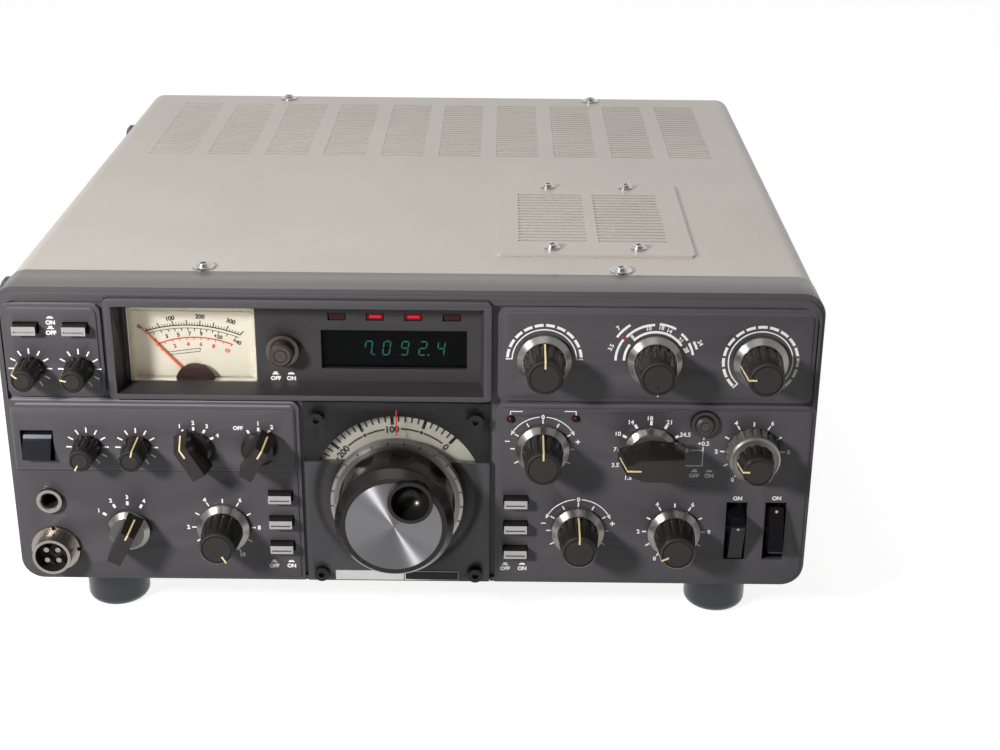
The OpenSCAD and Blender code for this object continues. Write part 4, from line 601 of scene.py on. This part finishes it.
for name, r, count, reach in (("load_knob", 14.9, 10, 88), ("drive_knob", 15.0, 15, 137)):
    x, y = control_at[name]
    pitch_deg = 2 * reach / count
    for i in range(count):
        flat += arcs(x, y, r, -reach + pitch_deg * (i + 0.09), -reach + pitch_deg * (i + 0.88), 1.15)
    flat += arcs(x, y, 13.0, -reach, reach, 0.5)
    for side in (-1, 1):
        a = side * (reach + 1)
        flat += stroke(*around(x, y, 12.8, a), *around(x, y, r + 0.7, a), 0.5)
x, y = control_at["plate_knob"]
for r, a0, a1 in ((12.4, -90, -56), (12.4, -45, 58), (15.8, -90, -55), (15.5, -49, -2), (18.5, -57, -34),
                  (15.9, 5, 30), (15.6, 41, 55), (15.5, 60, 80), (17.5, 61, 73)):
    flat += arcs(x, y, r, a0, a1, 1.0)
for text, dx, dy in (("3.5", -17.8, 5.7), ("7", -15.1, 14.1), ("8", -9.4, 10.3), ("10", -2.8, 14.0),
                     ("18", 2.3, 14.3), ("14", 5.5, 12.9), ("21", 9.9, 9.1), ("28", 12.5, 4.8),
                     ("24", 18, 7.9)):
    lean = math.degrees(math.atan2(dx, dy)) * 0.9
    printed.append(figures(text, x + dx, y + dy, front_out, 1.8, turn=lean, bold=0.025))
index_mark = stroke(*around(x, y, 14.5, -52.5), *around(x, y, 17, -52.5), 0.8)
x, y = control_at["band_selector"]
for text, dx, dy in (("18", -0.5, 14.5), ("14", -8.2, 12.7), ("10", -13.4, 7.4), ("7", -14.4, 0.3),
                     ("3.5", -14.1, -6.9), ("1.5", -8.5, -12.7), ("21", 7.3, 12.8), ("24.5", 14.1, 7.3),
                     ("28", 14.5, 0.1), ("29", 12.9, -6.9), ("+0.5", 21.9, 3.3)):
    printed.append(figures(text, x + dx, y + dy, front_out, 2.0, bold=0.025))
for line in ((120.7, 70.5, 120.7, 68.4), (120.6, 65.2, 120.6, 63.8), (115.2, 63.6, 120.8, 63.6),
             (120.6, 63.4, 120.6, 56.7), (113.9, 56.5, 120.8, 56.5), (41.0, 78.9, 41.0, 80.2),
             (40.85, 80.4, 46, 80.4), (63.2, 80.6, 68.05, 80.6), (67.9, 80.4, 67.9, 78.9)):
    flat += stroke(*line, 0.4)


def switch_word(word, x, y):
    """ON or OFF with the sign of a button in or out over it."""
    printed.append(figures(word, x, y, front_out, 1.9, bold=0.05))
    if word == "OFF":
        flat.append(box(x - 1.4, y + 1.6, x + 1.4, y + 2.0))
        flat.append(box(x - 0.8, y + 2.02, x + 0.8, y + 2.9))
    else:
        bow = [math.pi * k / 8 for k in range(9)]
        flat.append([(x + 1.4 * math.cos(a), y + 1.7 + math.sin(a)) for a in bow])


for word, x, y in (("OFF", -58.7, 7.3), ("ON", -51.3, 7.4), ("OFF", 39.5, 7.1), ("ON", 46.7, 7.2),
                   ("OFF", 117.6, 52.0), ("ON", 123.7, 52.0), ("ON", -143.6, 117.4), ("OFF", -143.7, 113.0)):
    switch_word(word, x, y)
for x, y in ((136.3, 41.6), (152.6, 41.8)):
    printed.append(figures("ON", x, y, front_out, 1.9))
gather("panel_print", printed + [prisms(flat, front_out)], white_ink, "case")
index_red = finish("index_red", (168, 50, 40), 0.55, {"Tone": 0.08})
gather("plate_index", [prisms(index_mark, front_out)], index_red, "case")


# Cover screws: plated steel screws with cross recesses in their round heads, driven through the
# covers and the hatch into the folded edges of the chassis.
def islands(mesh):
    """The corners of each separate solid of a mesh."""
    bm = bmesh.new()
    bm.from_mesh(mesh)
    bmesh.ops.remove_doubles(bm, verts=bm.verts, dist=2e-6)
    left, groups = set(bm.verts), []
    while left:
        stack, group = [left.pop()], []
        while stack:
            corner = stack.pop()
            group.append(corner.co.copy())
            fresh = {e.other_vert(corner) for e in corner.link_edges} & left
            left -= fresh
            stack += fresh
        groups.append(np.array(group))
    bm.free()
    return groups


# The cross recesses are drawn as thin crosses of shadow black on the heads: painted shade, not cut into them.
crosses = []
for corners in islands(works["cover_screws"].data):
    low, high = corners.min(axis=0), corners.max(axis=0)
    spot, span = (low + high) / 2, high - low
    cross = made_plain(marks_tree, {
        "Count": 4, "Inner": 0.0, "Outer": 0.0014, "Start": 0.4, "Step": math.pi / 2,
        "Width": 0.0006, "Thickness": 0.00012, "Ink": shadow_black})
    if abs(span[0] - span[1]) < 1e-4:
        spot[2] = high[2]
        lie = Matrix.Rotation(math.radians(-90), 4, "X")
    else:
        spot[0] = high[0] if spot[0] > 0 else low[0]
        lie = Matrix.Rotation(math.radians(90), 4, "Z")
    cross.transform(Matrix.Translation(spot) @ lie)
    crosses.append(cross)
gather("screw_crosses", crosses, shadow_black, "case")


# Window frame: a raised frame with a sunk floor, painted the same grey as the casting and let into
# it from the front. The meter, the display and four signal lamps stand behind its openings.
window = soften("window_frame", 0.35)
recess_paint = finish("recess_paint", (54, 52, 53), 0.42, front_grain, Specular_IOR_Level=0.3)
# The sunk floor gets a darker copy of the grey as painted shade, and the frame's top edge the lighter copy as
# painted light.
dress(window, front_paint, recess_paint, rim_paint, rule=lambda x, y, out, nx, ny, nz: np.where(
    out < -2.5, 1, np.where(y > 120.5, 2, 0)))
flat, printed = [], []
switch_word("OFF", -55.8, 89.7)
switch_word("ON", -49.4, 89.7)
gather("window_print", printed + [prisms(flat, front_out)], white_ink, "case")


# Meter: a black case with a warm white scale card, an orange needle, a half-round cover over the
# movement and a clear plastic lens in front.
meter_black = finish("meter_black", (20, 20, 20), 0.5, {"Tone": 0.08})
card = finish("meter_card", (198, 191, 177), 0.6, {"Tone": 0.05, "Patch": 40},
              Emission_Color=srgb(255, 236, 196), Emission_Strength=0.06)
card_black = finish("card_black", (28, 26, 24), 0.6, {"Tone": 0.1})
card_red = finish("card_red", (188, 42, 34), 0.6, {"Tone": 0.1})
needle_paint = finish("needle_paint", (206, 84, 42), 0.45, {"Tone": 0.1})


def lets_light_through(coat):
    """A clear plastic that casts no shadow on what lies behind it."""
    tree = coat.node_tree
    end = next(n for n in tree.nodes if n.type == "OUTPUT_MATERIAL")
    plastic = end.inputs["Surface"].links[0].from_socket
    shadow = add_node(tree, "ShaderNodeLightPath").outputs["Is Shadow Ray"]
    passing = add_node(tree, "ShaderNodeBsdfTransparent", {"Color": (0.86, 0.86, 0.85, 1)})
    both = add_node(tree, "ShaderNodeMixShader", {0: shadow, 1: plastic, 2: passing.outputs[0]})
    tree.links.new(both.outputs[0], end.inputs["Surface"])


clear = finish("clear_lens", (248, 248, 246), 0.03, {"Depth": 0.0, "Spread": 0.01, "Tone": 0.01},
               Transmission_Weight=1.0, IOR=1.07)
lets_light_through(clear)
movement_brown = finish("movement_brown", (46, 32, 26), 0.2, {"Tone": 0.12})
card_out = -14.6
movement_at = (-89.4, 86.4)
dress(works["meter_case"], meter_black, card, movement_brown,
      rule=lambda x, y, out, nx, ny, nz: np.where(
          (np.hypot(x - movement_at[0], y - movement_at[1]) < 8.5) & (y > 86) & (out > -14.4), 2,
          np.where(out > -15, 1, 0)))
dress(works["meter_needle"], needle_paint)
dress(works["meter_lens"], clear)
pivot = control_at["meter_needle"]


def on_arc(centre, r, swing):
    """Where the needle at this swing crosses a printed arc; both are given from the pivot."""
    aim = Vector(around(0, 0, 1, swing))
    away = Vector(centre)
    along = aim.dot(away)
    reach = along + math.sqrt(along * along - away.length_squared + r * r)
    return Vector(pivot) + aim * reach, aim


def card_scale(centre, r, swings, length, width):
    """Outlines of a scale's short lines, each along the needle at one swing."""
    return [o for s in swings for p, aim in [on_arc(centre, r, s)]
            for o in stroke(*p, *(p + aim * length), width)]


def card_arc(centre, r, s0, s1, width):
    """Outlines of a printed arc between two swings, in straight pieces."""
    cuts = [s0 + (s1 - s0) * i / 24 for i in range(25)]
    spots = [on_arc(centre, r, s)[0] for s in cuts]
    return [o for p, q in zip(spots, spots[1:]) for o in stroke(*p, *q, width)]


upper, lower = (-2.5, -32.2), (0.1, -20.8)
black = card_arc(upper, 57.2, -42.5, 42.6, 0.45) + card_arc(upper, 55.9, -42.5, 42.6, 0.25)
black += card_scale(upper, 57.2, [-42.6 + 2.42 * i for i in range(36)], 1.2, 0.25)
black += card_scale(upper, 57.2, [-42.6 + 12.1 * i for i in range(8)], 2.2, 0.45)
black += card_scale(upper, 55.9, [-38, -31.6, -25, -19, -12.5, -6, 0.5, 7, 13, 19, 25, 33, 41], -1.3, 0.35)
black += stroke(-101.8, 98.4, -87.2, 100.4, 0.25) + stroke(-100.7, 97.3, -87.5, 99.0, 0.25)
black += stroke(-101.8, 98.4, -100.7, 97.3, 0.25) + stroke(-87.2, 100.4, -87.5, 99.0, 0.25)


def card_figures(height, *spots):
    """Figures on the card, each leaning as the needle does there."""
    def lean(x, y):
        return 0.6 * math.degrees(math.atan2(x - pivot[0], y - pivot[1]))
    return [figures(text, x, y, card_out, height, turn=lean(x, y)) for text, x, y in spots]


black_print = [prisms(black, card_out)]
black_print += card_figures(2.0, ("0", -111.9, 109.8), ("100", -98.8, 113.5), ("200", -86.6, 114.4),
                            ("300", -74.0, 112.4))
black_print += card_figures(1.8, ("1", -105.4, 103.7), ("3", -100.8, 105.6), ("5", -96, 106.3),
                            ("7", -91.2, 106.8), ("9", -86.5, 106.8), ("+20", -79.6, 105.6),
                            ("+40", -71.9, 103.4))
gather("meter_scale_black", black_print, card_black, "case")
red = card_arc(lower, 40.4, -44.5, 43.4, 0.5)
red += card_scale(lower, 40.4, [-44.5 + 8.75 * i for i in range(11)], -1.1, 0.3)
red_print = [prisms(red, card_out)]
red_print += card_figures(1.8, ("0", -103.1, 100.1), ("2", -97.7, 101.4), ("4", -92.2, 102.2),
                          ("6", -86.9, 102.2), ("8", -81.7, 101.4), ("10", -76, 99.5))
gather("meter_scale_red", red_print, card_red, "case")


# Display: a green display tube behind a smoked plastic filter, showing five figures made of seven
# segments each, and four small signal lenses above it, two of them lit.
smoked = finish("smoked_filter", (62, 64, 66), 0.05, {"Depth": 0.0, "Spread": 0.01},
                Transmission_Weight=0.95, IOR=1.12)
tube_dark = finish("tube_dark", (14, 15, 15), 0.3, {"Tone": 0.1})
segment_glow = finish("segment_glow", (70, 190, 170), 0.5, {"Tone": 0.1},
                      Emission_Color=srgb(96, 226, 198), Emission_Strength=3.6)
dress(works["display_filter"], smoked)
dress(works["display_tube"], tube_dark)
segments = {"7": "abcf", "0": "abcdef", "9": "abcdfg", "2": "abged", "4": "bcfg"}
glyph_w, glyph_h, slant, bar_w, crack = 2.75, 5.9, 0.14, 0.54, 0.2
first_x, figure_pitch, middle_y, tube_out = -17.6, 7.46, 102.05, -12.8
glow_shapes = []
for i, digit in enumerate("70924"):
    cx, cy = first_x + figure_pitch * i, middle_y
    w, h = glyph_w / 2, glyph_h / 2
    ends = {"a": (-w, h, w, h), "b": (w, h, w, 0), "c": (w, 0, w, -h), "d": (-w, -h, w, -h),
            "e": (-w, 0, -w, -h), "f": (-w, h, -w, 0), "g": (-w, 0, w, 0)}
    for s in segments[digit]:
        x0, y0, x1, y1 = ends[s]
        aim = Vector((x1 - x0, y1 - y0)).normalized() * crack * 1.6
        x0, y0, x1, y1 = x0 + aim.x, y0 + aim.y, x1 - aim.x, y1 - aim.y
        outline = stroke(x0, y0, x1, y1, bar_w)[0]
        glow_shapes.append([(cx + px + slant * py, cy + py) for px, py in outline])
    if i in (0, 3):
        dot_x, dot_y = cx + 2.1, cy - h
        glow_shapes.append(box(dot_x - 0.35, dot_y - 0.35, dot_x + 0.35, dot_y + 0.35))
gather("display_figures", [prisms(glow_shapes, tube_out)], segment_glow, "case")
lamp_dark = finish("lamp_dark", (56, 20, 24), 0.25, {"Tone": 0.1}, Specular_IOR_Level=0.15)
lamp_lit = finish("lamp_lit", (96, 16, 24), 0.3, {"Tone": 0.1}, Specular_IOR_Level=0.15,
                  Emission_Color=srgb(200, 20, 40), Emission_Strength=0.06)
lamp_core = finish("lamp_core", (150, 20, 36), 0.4, {"Tone": 0.1}, Specular_IOR_Level=0.15,
                   Emission_Color=srgb(232, 40, 60), Emission_Strength=0.62)
lit_at = (-14.4, 1.2)
dress(works["indicator_lamps"], lamp_dark, lamp_lit, rule=lambda x, y, out, nx, ny, nz: np.where(
    (y > 100) & (np.minimum(np.abs(x - lit_at[0]), np.abs(x - lit_at[1])) < 4), 1, 0))
lit_bars = [box(x - 2.4, 116.45, x + 2.4, 117.55) for x in lit_at]
gather("lamp_cores", [prisms(lit_bars, facing("indicator_lamps"))], lamp_core, "case")


# Tuning dial: a grey escutcheon with a dish round the knob, a clear window over an arch, and behind
# it a cream disc with printed graduations that the knob turns through a reduction drive.
dial = control_at["tuning_knob"]
escutcheon = soften("dial_escutcheon", 0.3)
plate_grey = finish("escutcheon_grey", (53, 52, 54), 0.36, {"Tone": 0.06, "Patch": 20, "Depth": 0.08})
arch_paint = finish("arch_paint", (22, 22, 24), 0.38, front_grain, Specular_IOR_Level=0.25)
dish_paint = finish("dish_paint", (56, 54, 53), 0.5, {"Tone": 0.06})
# Inside the knob's ring the dish is darkened to 0.12 of its tone: painted shade under the ring.
tree = dish_paint.node_tree
away = add_node(tree, "ShaderNodeVectorMath", {0: add_node(tree, "ShaderNodeTexCoord").outputs["Object"],
                                               1: -panel(*dial, 0)})
away = add_node(tree, "ShaderNodeVectorMath", {0: away.outputs[0], 1: (1, 0, 1)}, operation="MULTIPLY")
away = add_node(tree, "ShaderNodeVectorMath", {0: away.outputs[0]}, operation="LENGTH")
ring_shade = add_node(tree, "ShaderNodeMapRange", {
    0: away.outputs["Value"], 1: 0.0272, 2: 0.0278, 3: 0.12, 4: 1.0})
scale_tone(dish_paint, ring_shade.outputs[0])
dress(escutcheon, plate_grey, dish_paint, arch_paint, rule=lambda x, y, out, nx, ny, nz: np.where(
    (out < -0.1) & (np.hypot(x - dial[0], y - dial[1]) < 31.6), 1, np.where(y > 56.9, 2, 0)))
dress(works["dial_window"], clear)
cream = finish("dial_cream", (155, 152, 142), 0.5, {"Tone": 0.04, "Patch": 30})
dress(works["dial_disc"], cream)
screw_black = finish("socket_screw_black", (24, 23, 23), 0.3, {"Tone": 0.1, "Patch": 200}, Metallic=0.5)
dress(works["dial_screws"], screw_black)
disc_out = -2.4
per_khz = 0.467
at_zero = 92.4 * per_khz
dial_marks = [ticks(*dial, disc_out, 51, at_zero, -10 * per_khz, 32.7, 36.9, 0.75, card_black),
              ticks(*dial, disc_out, 11, at_zero, -50 * per_khz, 31.4, 36.9, 1.35, card_black)]
thin = []
for k in range(0, 501, 50):
    a = at_zero - k * per_khz
    if k % 100 == 0:
        dial_marks.append(figures(str(k), *around(*dial, 29.3, a), disc_out, 3.1, turn=a))
    else:
        thin.append([around(*around(*dial, 29.6, a), 0.8, 45 * i) for i in range(8)])
    if k < 500:
        near, far = (6.6 if k else 4.0, 2) if k % 100 == 0 else (2, 6.6)
        thin += arcs(*dial, 29.6, a - near, a - 50 * per_khz + far, 0.75)
gather("dial_graduations", dial_marks + [prisms(thin, disc_out)], card_black, "dial_disc")
hair_red = finish("hair_red", (184, 44, 32), 0.4, {"Tone": 0.08})
hairline = stroke(dial[0], 69.0, dial[0], 80.6, 0.55)
plate_out, nameplate_thick = 2.0, 0.3
gather("dial_hairline", [prisms(hairline, plate_out)], hair_red, "case")
plate_silver = finish("plate_silver", (196, 196, 194), 0.32, {"Tone": 0.05, "Patch": 200}, Metallic=0.7)
plate_dark = finish("plate_dark", (20, 20, 22), 0.35, {"Tone": 0.08}, Specular_IOR_Level=0.25)
bright_plate = prisms([box(-32.5, 1.4, -3.6, 5.8)], plate_out, nameplate_thick)
gather("nameplate_bright", [bright_plate], plate_silver, "case")
dark_plate = prisms([box(-3.4, 1.4, 20, 5.8)], plate_out, nameplate_thick)
gather("nameplate_dark", [dark_plate], plate_dark, "case")
edges = stroke(-3.2, 1.6, 19.8, 1.6, 0.3) + stroke(-3.2, 5.6, 19.8, 5.6, 0.3)
edges += stroke(-3.05, 1.8, -3.05, 5.4, 0.3) + stroke(19.65, 1.8, 19.65, 5.4, 0.3)
border = prisms(edges, plate_out + nameplate_thick, 0.05)
gather("nameplate_border", [border], white_ink, "case")


# Tuning knob: a black moulded grip with scalloped sides on a turned aluminium ring with a knurled
# edge and black index marks, a spun aluminium inlay and a black finger cup.
knob_black = finish("knob_black", (26, 23, 21), 0.24,
                    {"Tone": 0.06, "Patch": 60, "Depth": 0.0, "Spread": 0.0}, Specular_IOR_Level=0.27)
chrome = finish("chrome", (152, 145, 138), 0.28, {"Tone": 0.06, "Patch": 200, "Depth": 0.0}, Metallic=1.0)


def spun(name, color, rough, turned):
    """Metal faced off in a lathe: a coat whose gloss is drawn out round its own middle."""
    made = finish(name, color, rough, {"Tone": 0.03, "Depth": 0.0, "Spread": 0.005}, Metallic=1.0,
                  Anisotropic=turned, Anisotropic_Rotation=0.25)
    tree = made.node_tree
    round_axis = add_node(tree, "ShaderNodeTangent", direction_type="RADIAL", axis="Y")
    tree.links.new(round_axis.outputs[0], shader_of(made).inputs["Tangent"])
    return made


inlay_metal = spun("inlay_metal", (126, 125, 128), 0.41, 1.0)
ring_metal = spun("ring_metal", (150, 149, 146), 0.3, 0.85)


cup_at = (dial[0] + 6.9, dial[1] + 11.6)


def tuning_coat(x, y, out, nx, ny, nz):
    """Bright metal for the ring and the inlay; black for the grip and for the finger cup in it."""
    r = np.hypot(x - dial[0], y - dial[1])
    cup = np.hypot(x - cup_at[0], y - cup_at[1])
    coat = np.where((out < 7.3) & (r > 22), 1, 0)
    coat = np.where((out > 26.5) & (r < 19.8), 2, coat)
    return np.where((cup < 9.3) & (out > 17), 0, coat)


dress(works["tuning_knob"], knob_black, ring_metal, inlay_metal, rule=tuning_coat)
ring_out = 6.95
knurl = ticks(*dial, ring_out, 200, 0, 1.8, 24.5, 26.2, 0.42, ring_metal, thick=0.5)
gather("ring_knurl", [knurl], ring_metal, "tuning_knob")
index_marks = ticks(*dial, ring_out, 25, 7.2, 14.4, 26.3, 27.5, 0.6, card_black)
gather("ring_index", [index_marks], card_black, "tuning_knob")


# Turned controls: black moulded caps with flutes and a gold line, on bright aluminium skirts; the
# selectors are black bars. Each is pushed on its shaft.
skirt_metal = spun("skirt_metal", (164, 161, 156), 0.34, 0.8)
# A darker copy of the skirt metal for the flat front faces of the plated selector skirts: a painted dark
# reflection.
skirt_flat = finish("skirt_flat", (98, 96, 93), 0.36, {"Tone": 0.06, "Patch": 200}, Metallic=0.8)
gold_line = finish("gold_line", (236, 212, 164), 0.4, {"Tone": 0.06, "Patch": 300})
cap_black = finish("cap_black", (37, 33, 30), 0.22, {"Tone": 0.06, "Patch": 80, "Depth": 0.0, "Spread": 0.0},
                   Specular_IOR_Level=0.3)


def pointer(x, y, turn, path, width, coat, body, name, proud=0.1):
    """A filled line along a knob, through points given as (radius, out) towards the pointer."""
    aim = Vector(around(0, 0, 1, turn))
    side = Vector((aim.y, -aim.x)) * width / 2
    bm = bmesh.new()
    rows = []
    for i, (r, out) in enumerate(path):
        a, b = path[max(0, i - 1)], path[min(len(path) - 1, i + 1)]
        run = Vector((b[0] - a[0], b[1] - a[1])).normalized()
        lift = Vector((-run.y, run.x)) if run.x > 0 or run.y < 0 else Vector((run.y, -run.x))
        if lift.x < 0 and lift.y <= 0:
            lift = -lift
        row = []
        for s, t in ((-1, -0.12), (1, -0.12), (1, proud), (-1, proud)):
            rr, oo = r + lift.x * t, out + lift.y * t
            row.append(bm.verts.new(panel(x + aim.x * rr + s * side.x, y + aim.y * rr + s * side.y, oo)))
        rows.append(row)
    for p, q in zip(rows, rows[1:]):
        for i in range(4):
            bm.faces.new((p[i], p[(i + 1) % 4], q[(i + 1) % 4], q[i]))
    bm.faces.new(rows[0])
    bm.faces.new(rows[-1][::-1])
    bmesh.ops.recalc_face_normals(bm, faces=bm.faces)
    return gather(name, [made_mesh(name, bm)], coat, body)


skirt_top, cap_top = 5.75, 21.0
large = {"mic_gain_knob": 150, "load_knob": 0, "plate_knob": 180, "drive_knob": -90, "offset_knob": 0,
         "shift_knob": 0, "notch_knob": -117}
for name, turn in large.items():
    x, y = control_at[name]
    # The ring groove in each cap's face is coloured shadow black, painted shade.
    dress(works[name], cap_black, skirt_metal, shadow_black, rule=lambda px, py, out, nx, ny, nz: np.where(
        (out < skirt_top) & (np.hypot(px - x, py - y) > 8.6), 1,
        np.where((out > cap_top - 0.5) & (out < cap_top - 0.1), 2, 0)))
    start = 6.8 if name == "plate_knob" else 3.9
    if start > 4:
        slot_rest = [(3.8, cap_top), (start, cap_top)]
        pointer(x, y, turn, slot_rest, 0.7, cap_black, name, name + "_filling", 0.01)
    gilded = [(start, cap_top), (7.2, cap_top), (8.6, 6.5)]
    pointer(x, y, turn, gilded, 0.7, gold_line, name, name + "_line")
small = {"noise_level_knob": (-50, 15.5), "vox_gain_knob": (-80, 15.5), "vox_delay_knob": (-150, 15.9),
         "carrier_knob": (13, 15.9)}
for name, (turn, top) in small.items():
    x, y = control_at[name]
    # The ring groove in each cap's face is coloured shadow black, painted shade.
    dress(works[name], cap_black, shadow_black, rule=lambda px, py, out, nx, ny, nz: np.where(
        (out > top - 0.5) & (out < top - 0.1), 1, 0))
    pointer(x, y, turn, [(2.2, top), (4.7, top), (5.7, top - 12)], 0.6, gold_line, name, name + "_line")
bars = {
    # turn, start of the line, reach, seat, top, plated skirt
    "meter_selector": (-30, 2.5, 9.5, 4.9, 16.9, False), "agc_selector": (30, 2.6, 9.5, 4.9, 16.9, False),
    "mode_selector": (27.5, 4.2, 9.5, 5.7, 18.5, True), "band_selector": (-90, 5.0, 13.5, 5.7, 21.5, True),
}


def narrow_nose(corner):
    """The band bar grows narrower towards its pointer, above the skirt."""
    cx, cy = control_at["band_selector"]
    x, y, out = corner.x * 1000 - cx, corner.z * 1000 - panel_foot - cy, rim_y - corner.y * 1000
    if out > 6.2 and x < -1:
        y *= 1 - 0.4 * min(1, (-x - 1) / 9.5)
    return panel(x + cx, y + cy, out)


for name, (turn, start, reach, seat, top, plated) in bars.items():
    x, y = control_at[name]
    piece = works[name]
    if name == "band_selector":
        piece = soften(name, 0.3, reshape=narrow_nose)
    dress(piece, cap_black, skirt_metal, skirt_flat, rule=lambda px, py, out, nx, ny, nz: np.where(
        (out > skirt_top) | (not plated), 0, np.where(nz > 0.9, 2, 1)))
    gilded = [(start, top), (reach - 3, top), (reach - 0.6, top - 0.8 * (top - seat))]
    pointer(x, y, turn, gilded, 0.7, gold_line, name, name + "_line")
    pointer(x, y, turn, [(0.2, top), (start, top)], 0.7, cap_black, name, name + "_filling", 0.01)
ring_smoke = finish("ring_smoke", (118, 114, 108), 0.3, {"Tone": 0.08, "Patch": 200}, Metallic=0.5)
ring_edge = finish("ring_edge", (150, 147, 140), 0.3, {"Tone": 0.06, "Patch": 200}, Metallic=0.8)
dress(works["radio_gain_ring"], ring_smoke, ring_edge, rule=lambda x, y, out, nx, ny, nz: np.where(
    (nz > 0.2) & (nz < 0.95) & (out > 10), 1, 0))
dress(works["audio_gain_knob"], cap_black)
gilded = [(3.4, cap_top), (6.4, cap_top), (7.5, 12)]
pointer(*control_at["audio_gain_knob"], -90, gilded, 0.7, gold_line, "audio_gain_knob", "audio_gain_line")


# Push buttons: eight silvered plastic caps in slots of the casting, on latching switches behind it,
# and two round brown ones of moulded plastic in turned collars.
button_silver = finish("button_silver", (168, 165, 166), 0.26, {"Tone": 0.06, "Patch": 200}, Metallic=0.85)
# The caps' top, side and lower faces are dark brown, a painted dark reflection and painted shade; only their
# fronts are silver.
button_brown = finish("button_brown", (40, 34, 31), 0.35, {"Tone": 0.08})
for name in ("noise_button", "vox_button", "narrow_button", "processor_button", "attenuator_button",
             "offset_button", "transmit_offset_button", "notch_button"):
    dress(works[name], button_brown, button_silver,
          rule=lambda x, y, out, nx, ny, nz: np.where(nz > 0.35, 1, 0))
for name in ("calibrator_button", "band_step_button"):
    dress(works[name], finish(name + "_brown", (58, 51, 46), 0.36, {"Tone": 0.1, "Patch": 150}))


# Paddle switches: glossy black rockers on cross pins in black housings behind the panel, two of
# them with a gilt dot near the upper end.
gloss_black = finish("gloss_black", (20, 20, 22), 0.2, {"Tone": 0.1, "Depth": 0.03}, Specular_IOR_Level=0.25)
send_black = finish("send_black", (28, 29, 34), 0.1, {"Tone": 0.1, "Depth": 0.0, "Spread": 0.01},
                    Specular_IOR_Level=0.4)
# A painted sheen: a lighter metallic coat on the paddle's upward upper faces and its front lip, standing for
# the light they reflect.
send_sheen = finish("send_sheen", (42, 44, 49), 0.3, {"Tone": 0.1, "Depth": 0.0}, Metallic=0.6)
dress(works["send_paddle"], send_black, send_sheen, rule=lambda x, y, out, nx, ny, nz: np.where(
    (y > 65.4) & (ny > 0.3) | (y < 58.6) & (nz > 0.3) & (out > 5), 1, 0))
gilt = finish("gilt_dot", (214, 176, 120), 0.4, {"Tone": 0.08, "Patch": 300})
pin_out = -2.6
for name, tilt in (("heater_paddle", 18), ("power_paddle", -18)):
    dress(works[name], gloss_black)
    x, pin_y = control_at[name]
    lean, along, before = math.radians(tilt), 8.0, 9.6
    spot = panel(x, pin_y + along * math.cos(lean) - before * math.sin(lean),
                 pin_out + before * math.cos(lean) + along * math.sin(lean))
    bm = bmesh.new()
    bmesh.ops.create_cone(bm, cap_ends=True, segments=16, radius1=0.0006, radius2=0.0006, depth=0.0002,
                          matrix=Matrix.Translation(spot) @ Matrix.Rotation(math.radians(90 + tilt), 4, "X"))
    gather(name + "_dot", [made_mesh("dot", bm)], gilt, name)


# Front sockets: a chromed phones jack and a screw-on microphone connector with a ring of pins in a
# black insert.
def socket_coat(x, y, out, nx, ny, nz):
    """Chrome outside; shadow black for the walls and the floor of each bore: painted shade, and the
    microphone connector's black insert.
    """
    coat = np.zeros(len(x), dtype=np.int32)
    for cx, cy, bore, deep in ((-151.2, 38.0, 3.2, 3.4), (-150.7, 15.2, 6.8, 4.7)):
        dx, dy = x - cx, y - cy
        r = np.hypot(dx, dy)
        inward = nx * dx + ny * dy < -0.3 * np.maximum(r, 1e-6)
        coat = np.where((r < bore + 0.3) & (inward & (r > bore - 0.4) | (out < deep)), 1, coat)
    return coat


dress(works["front_sockets"], chrome, shadow_black, rule=socket_coat)
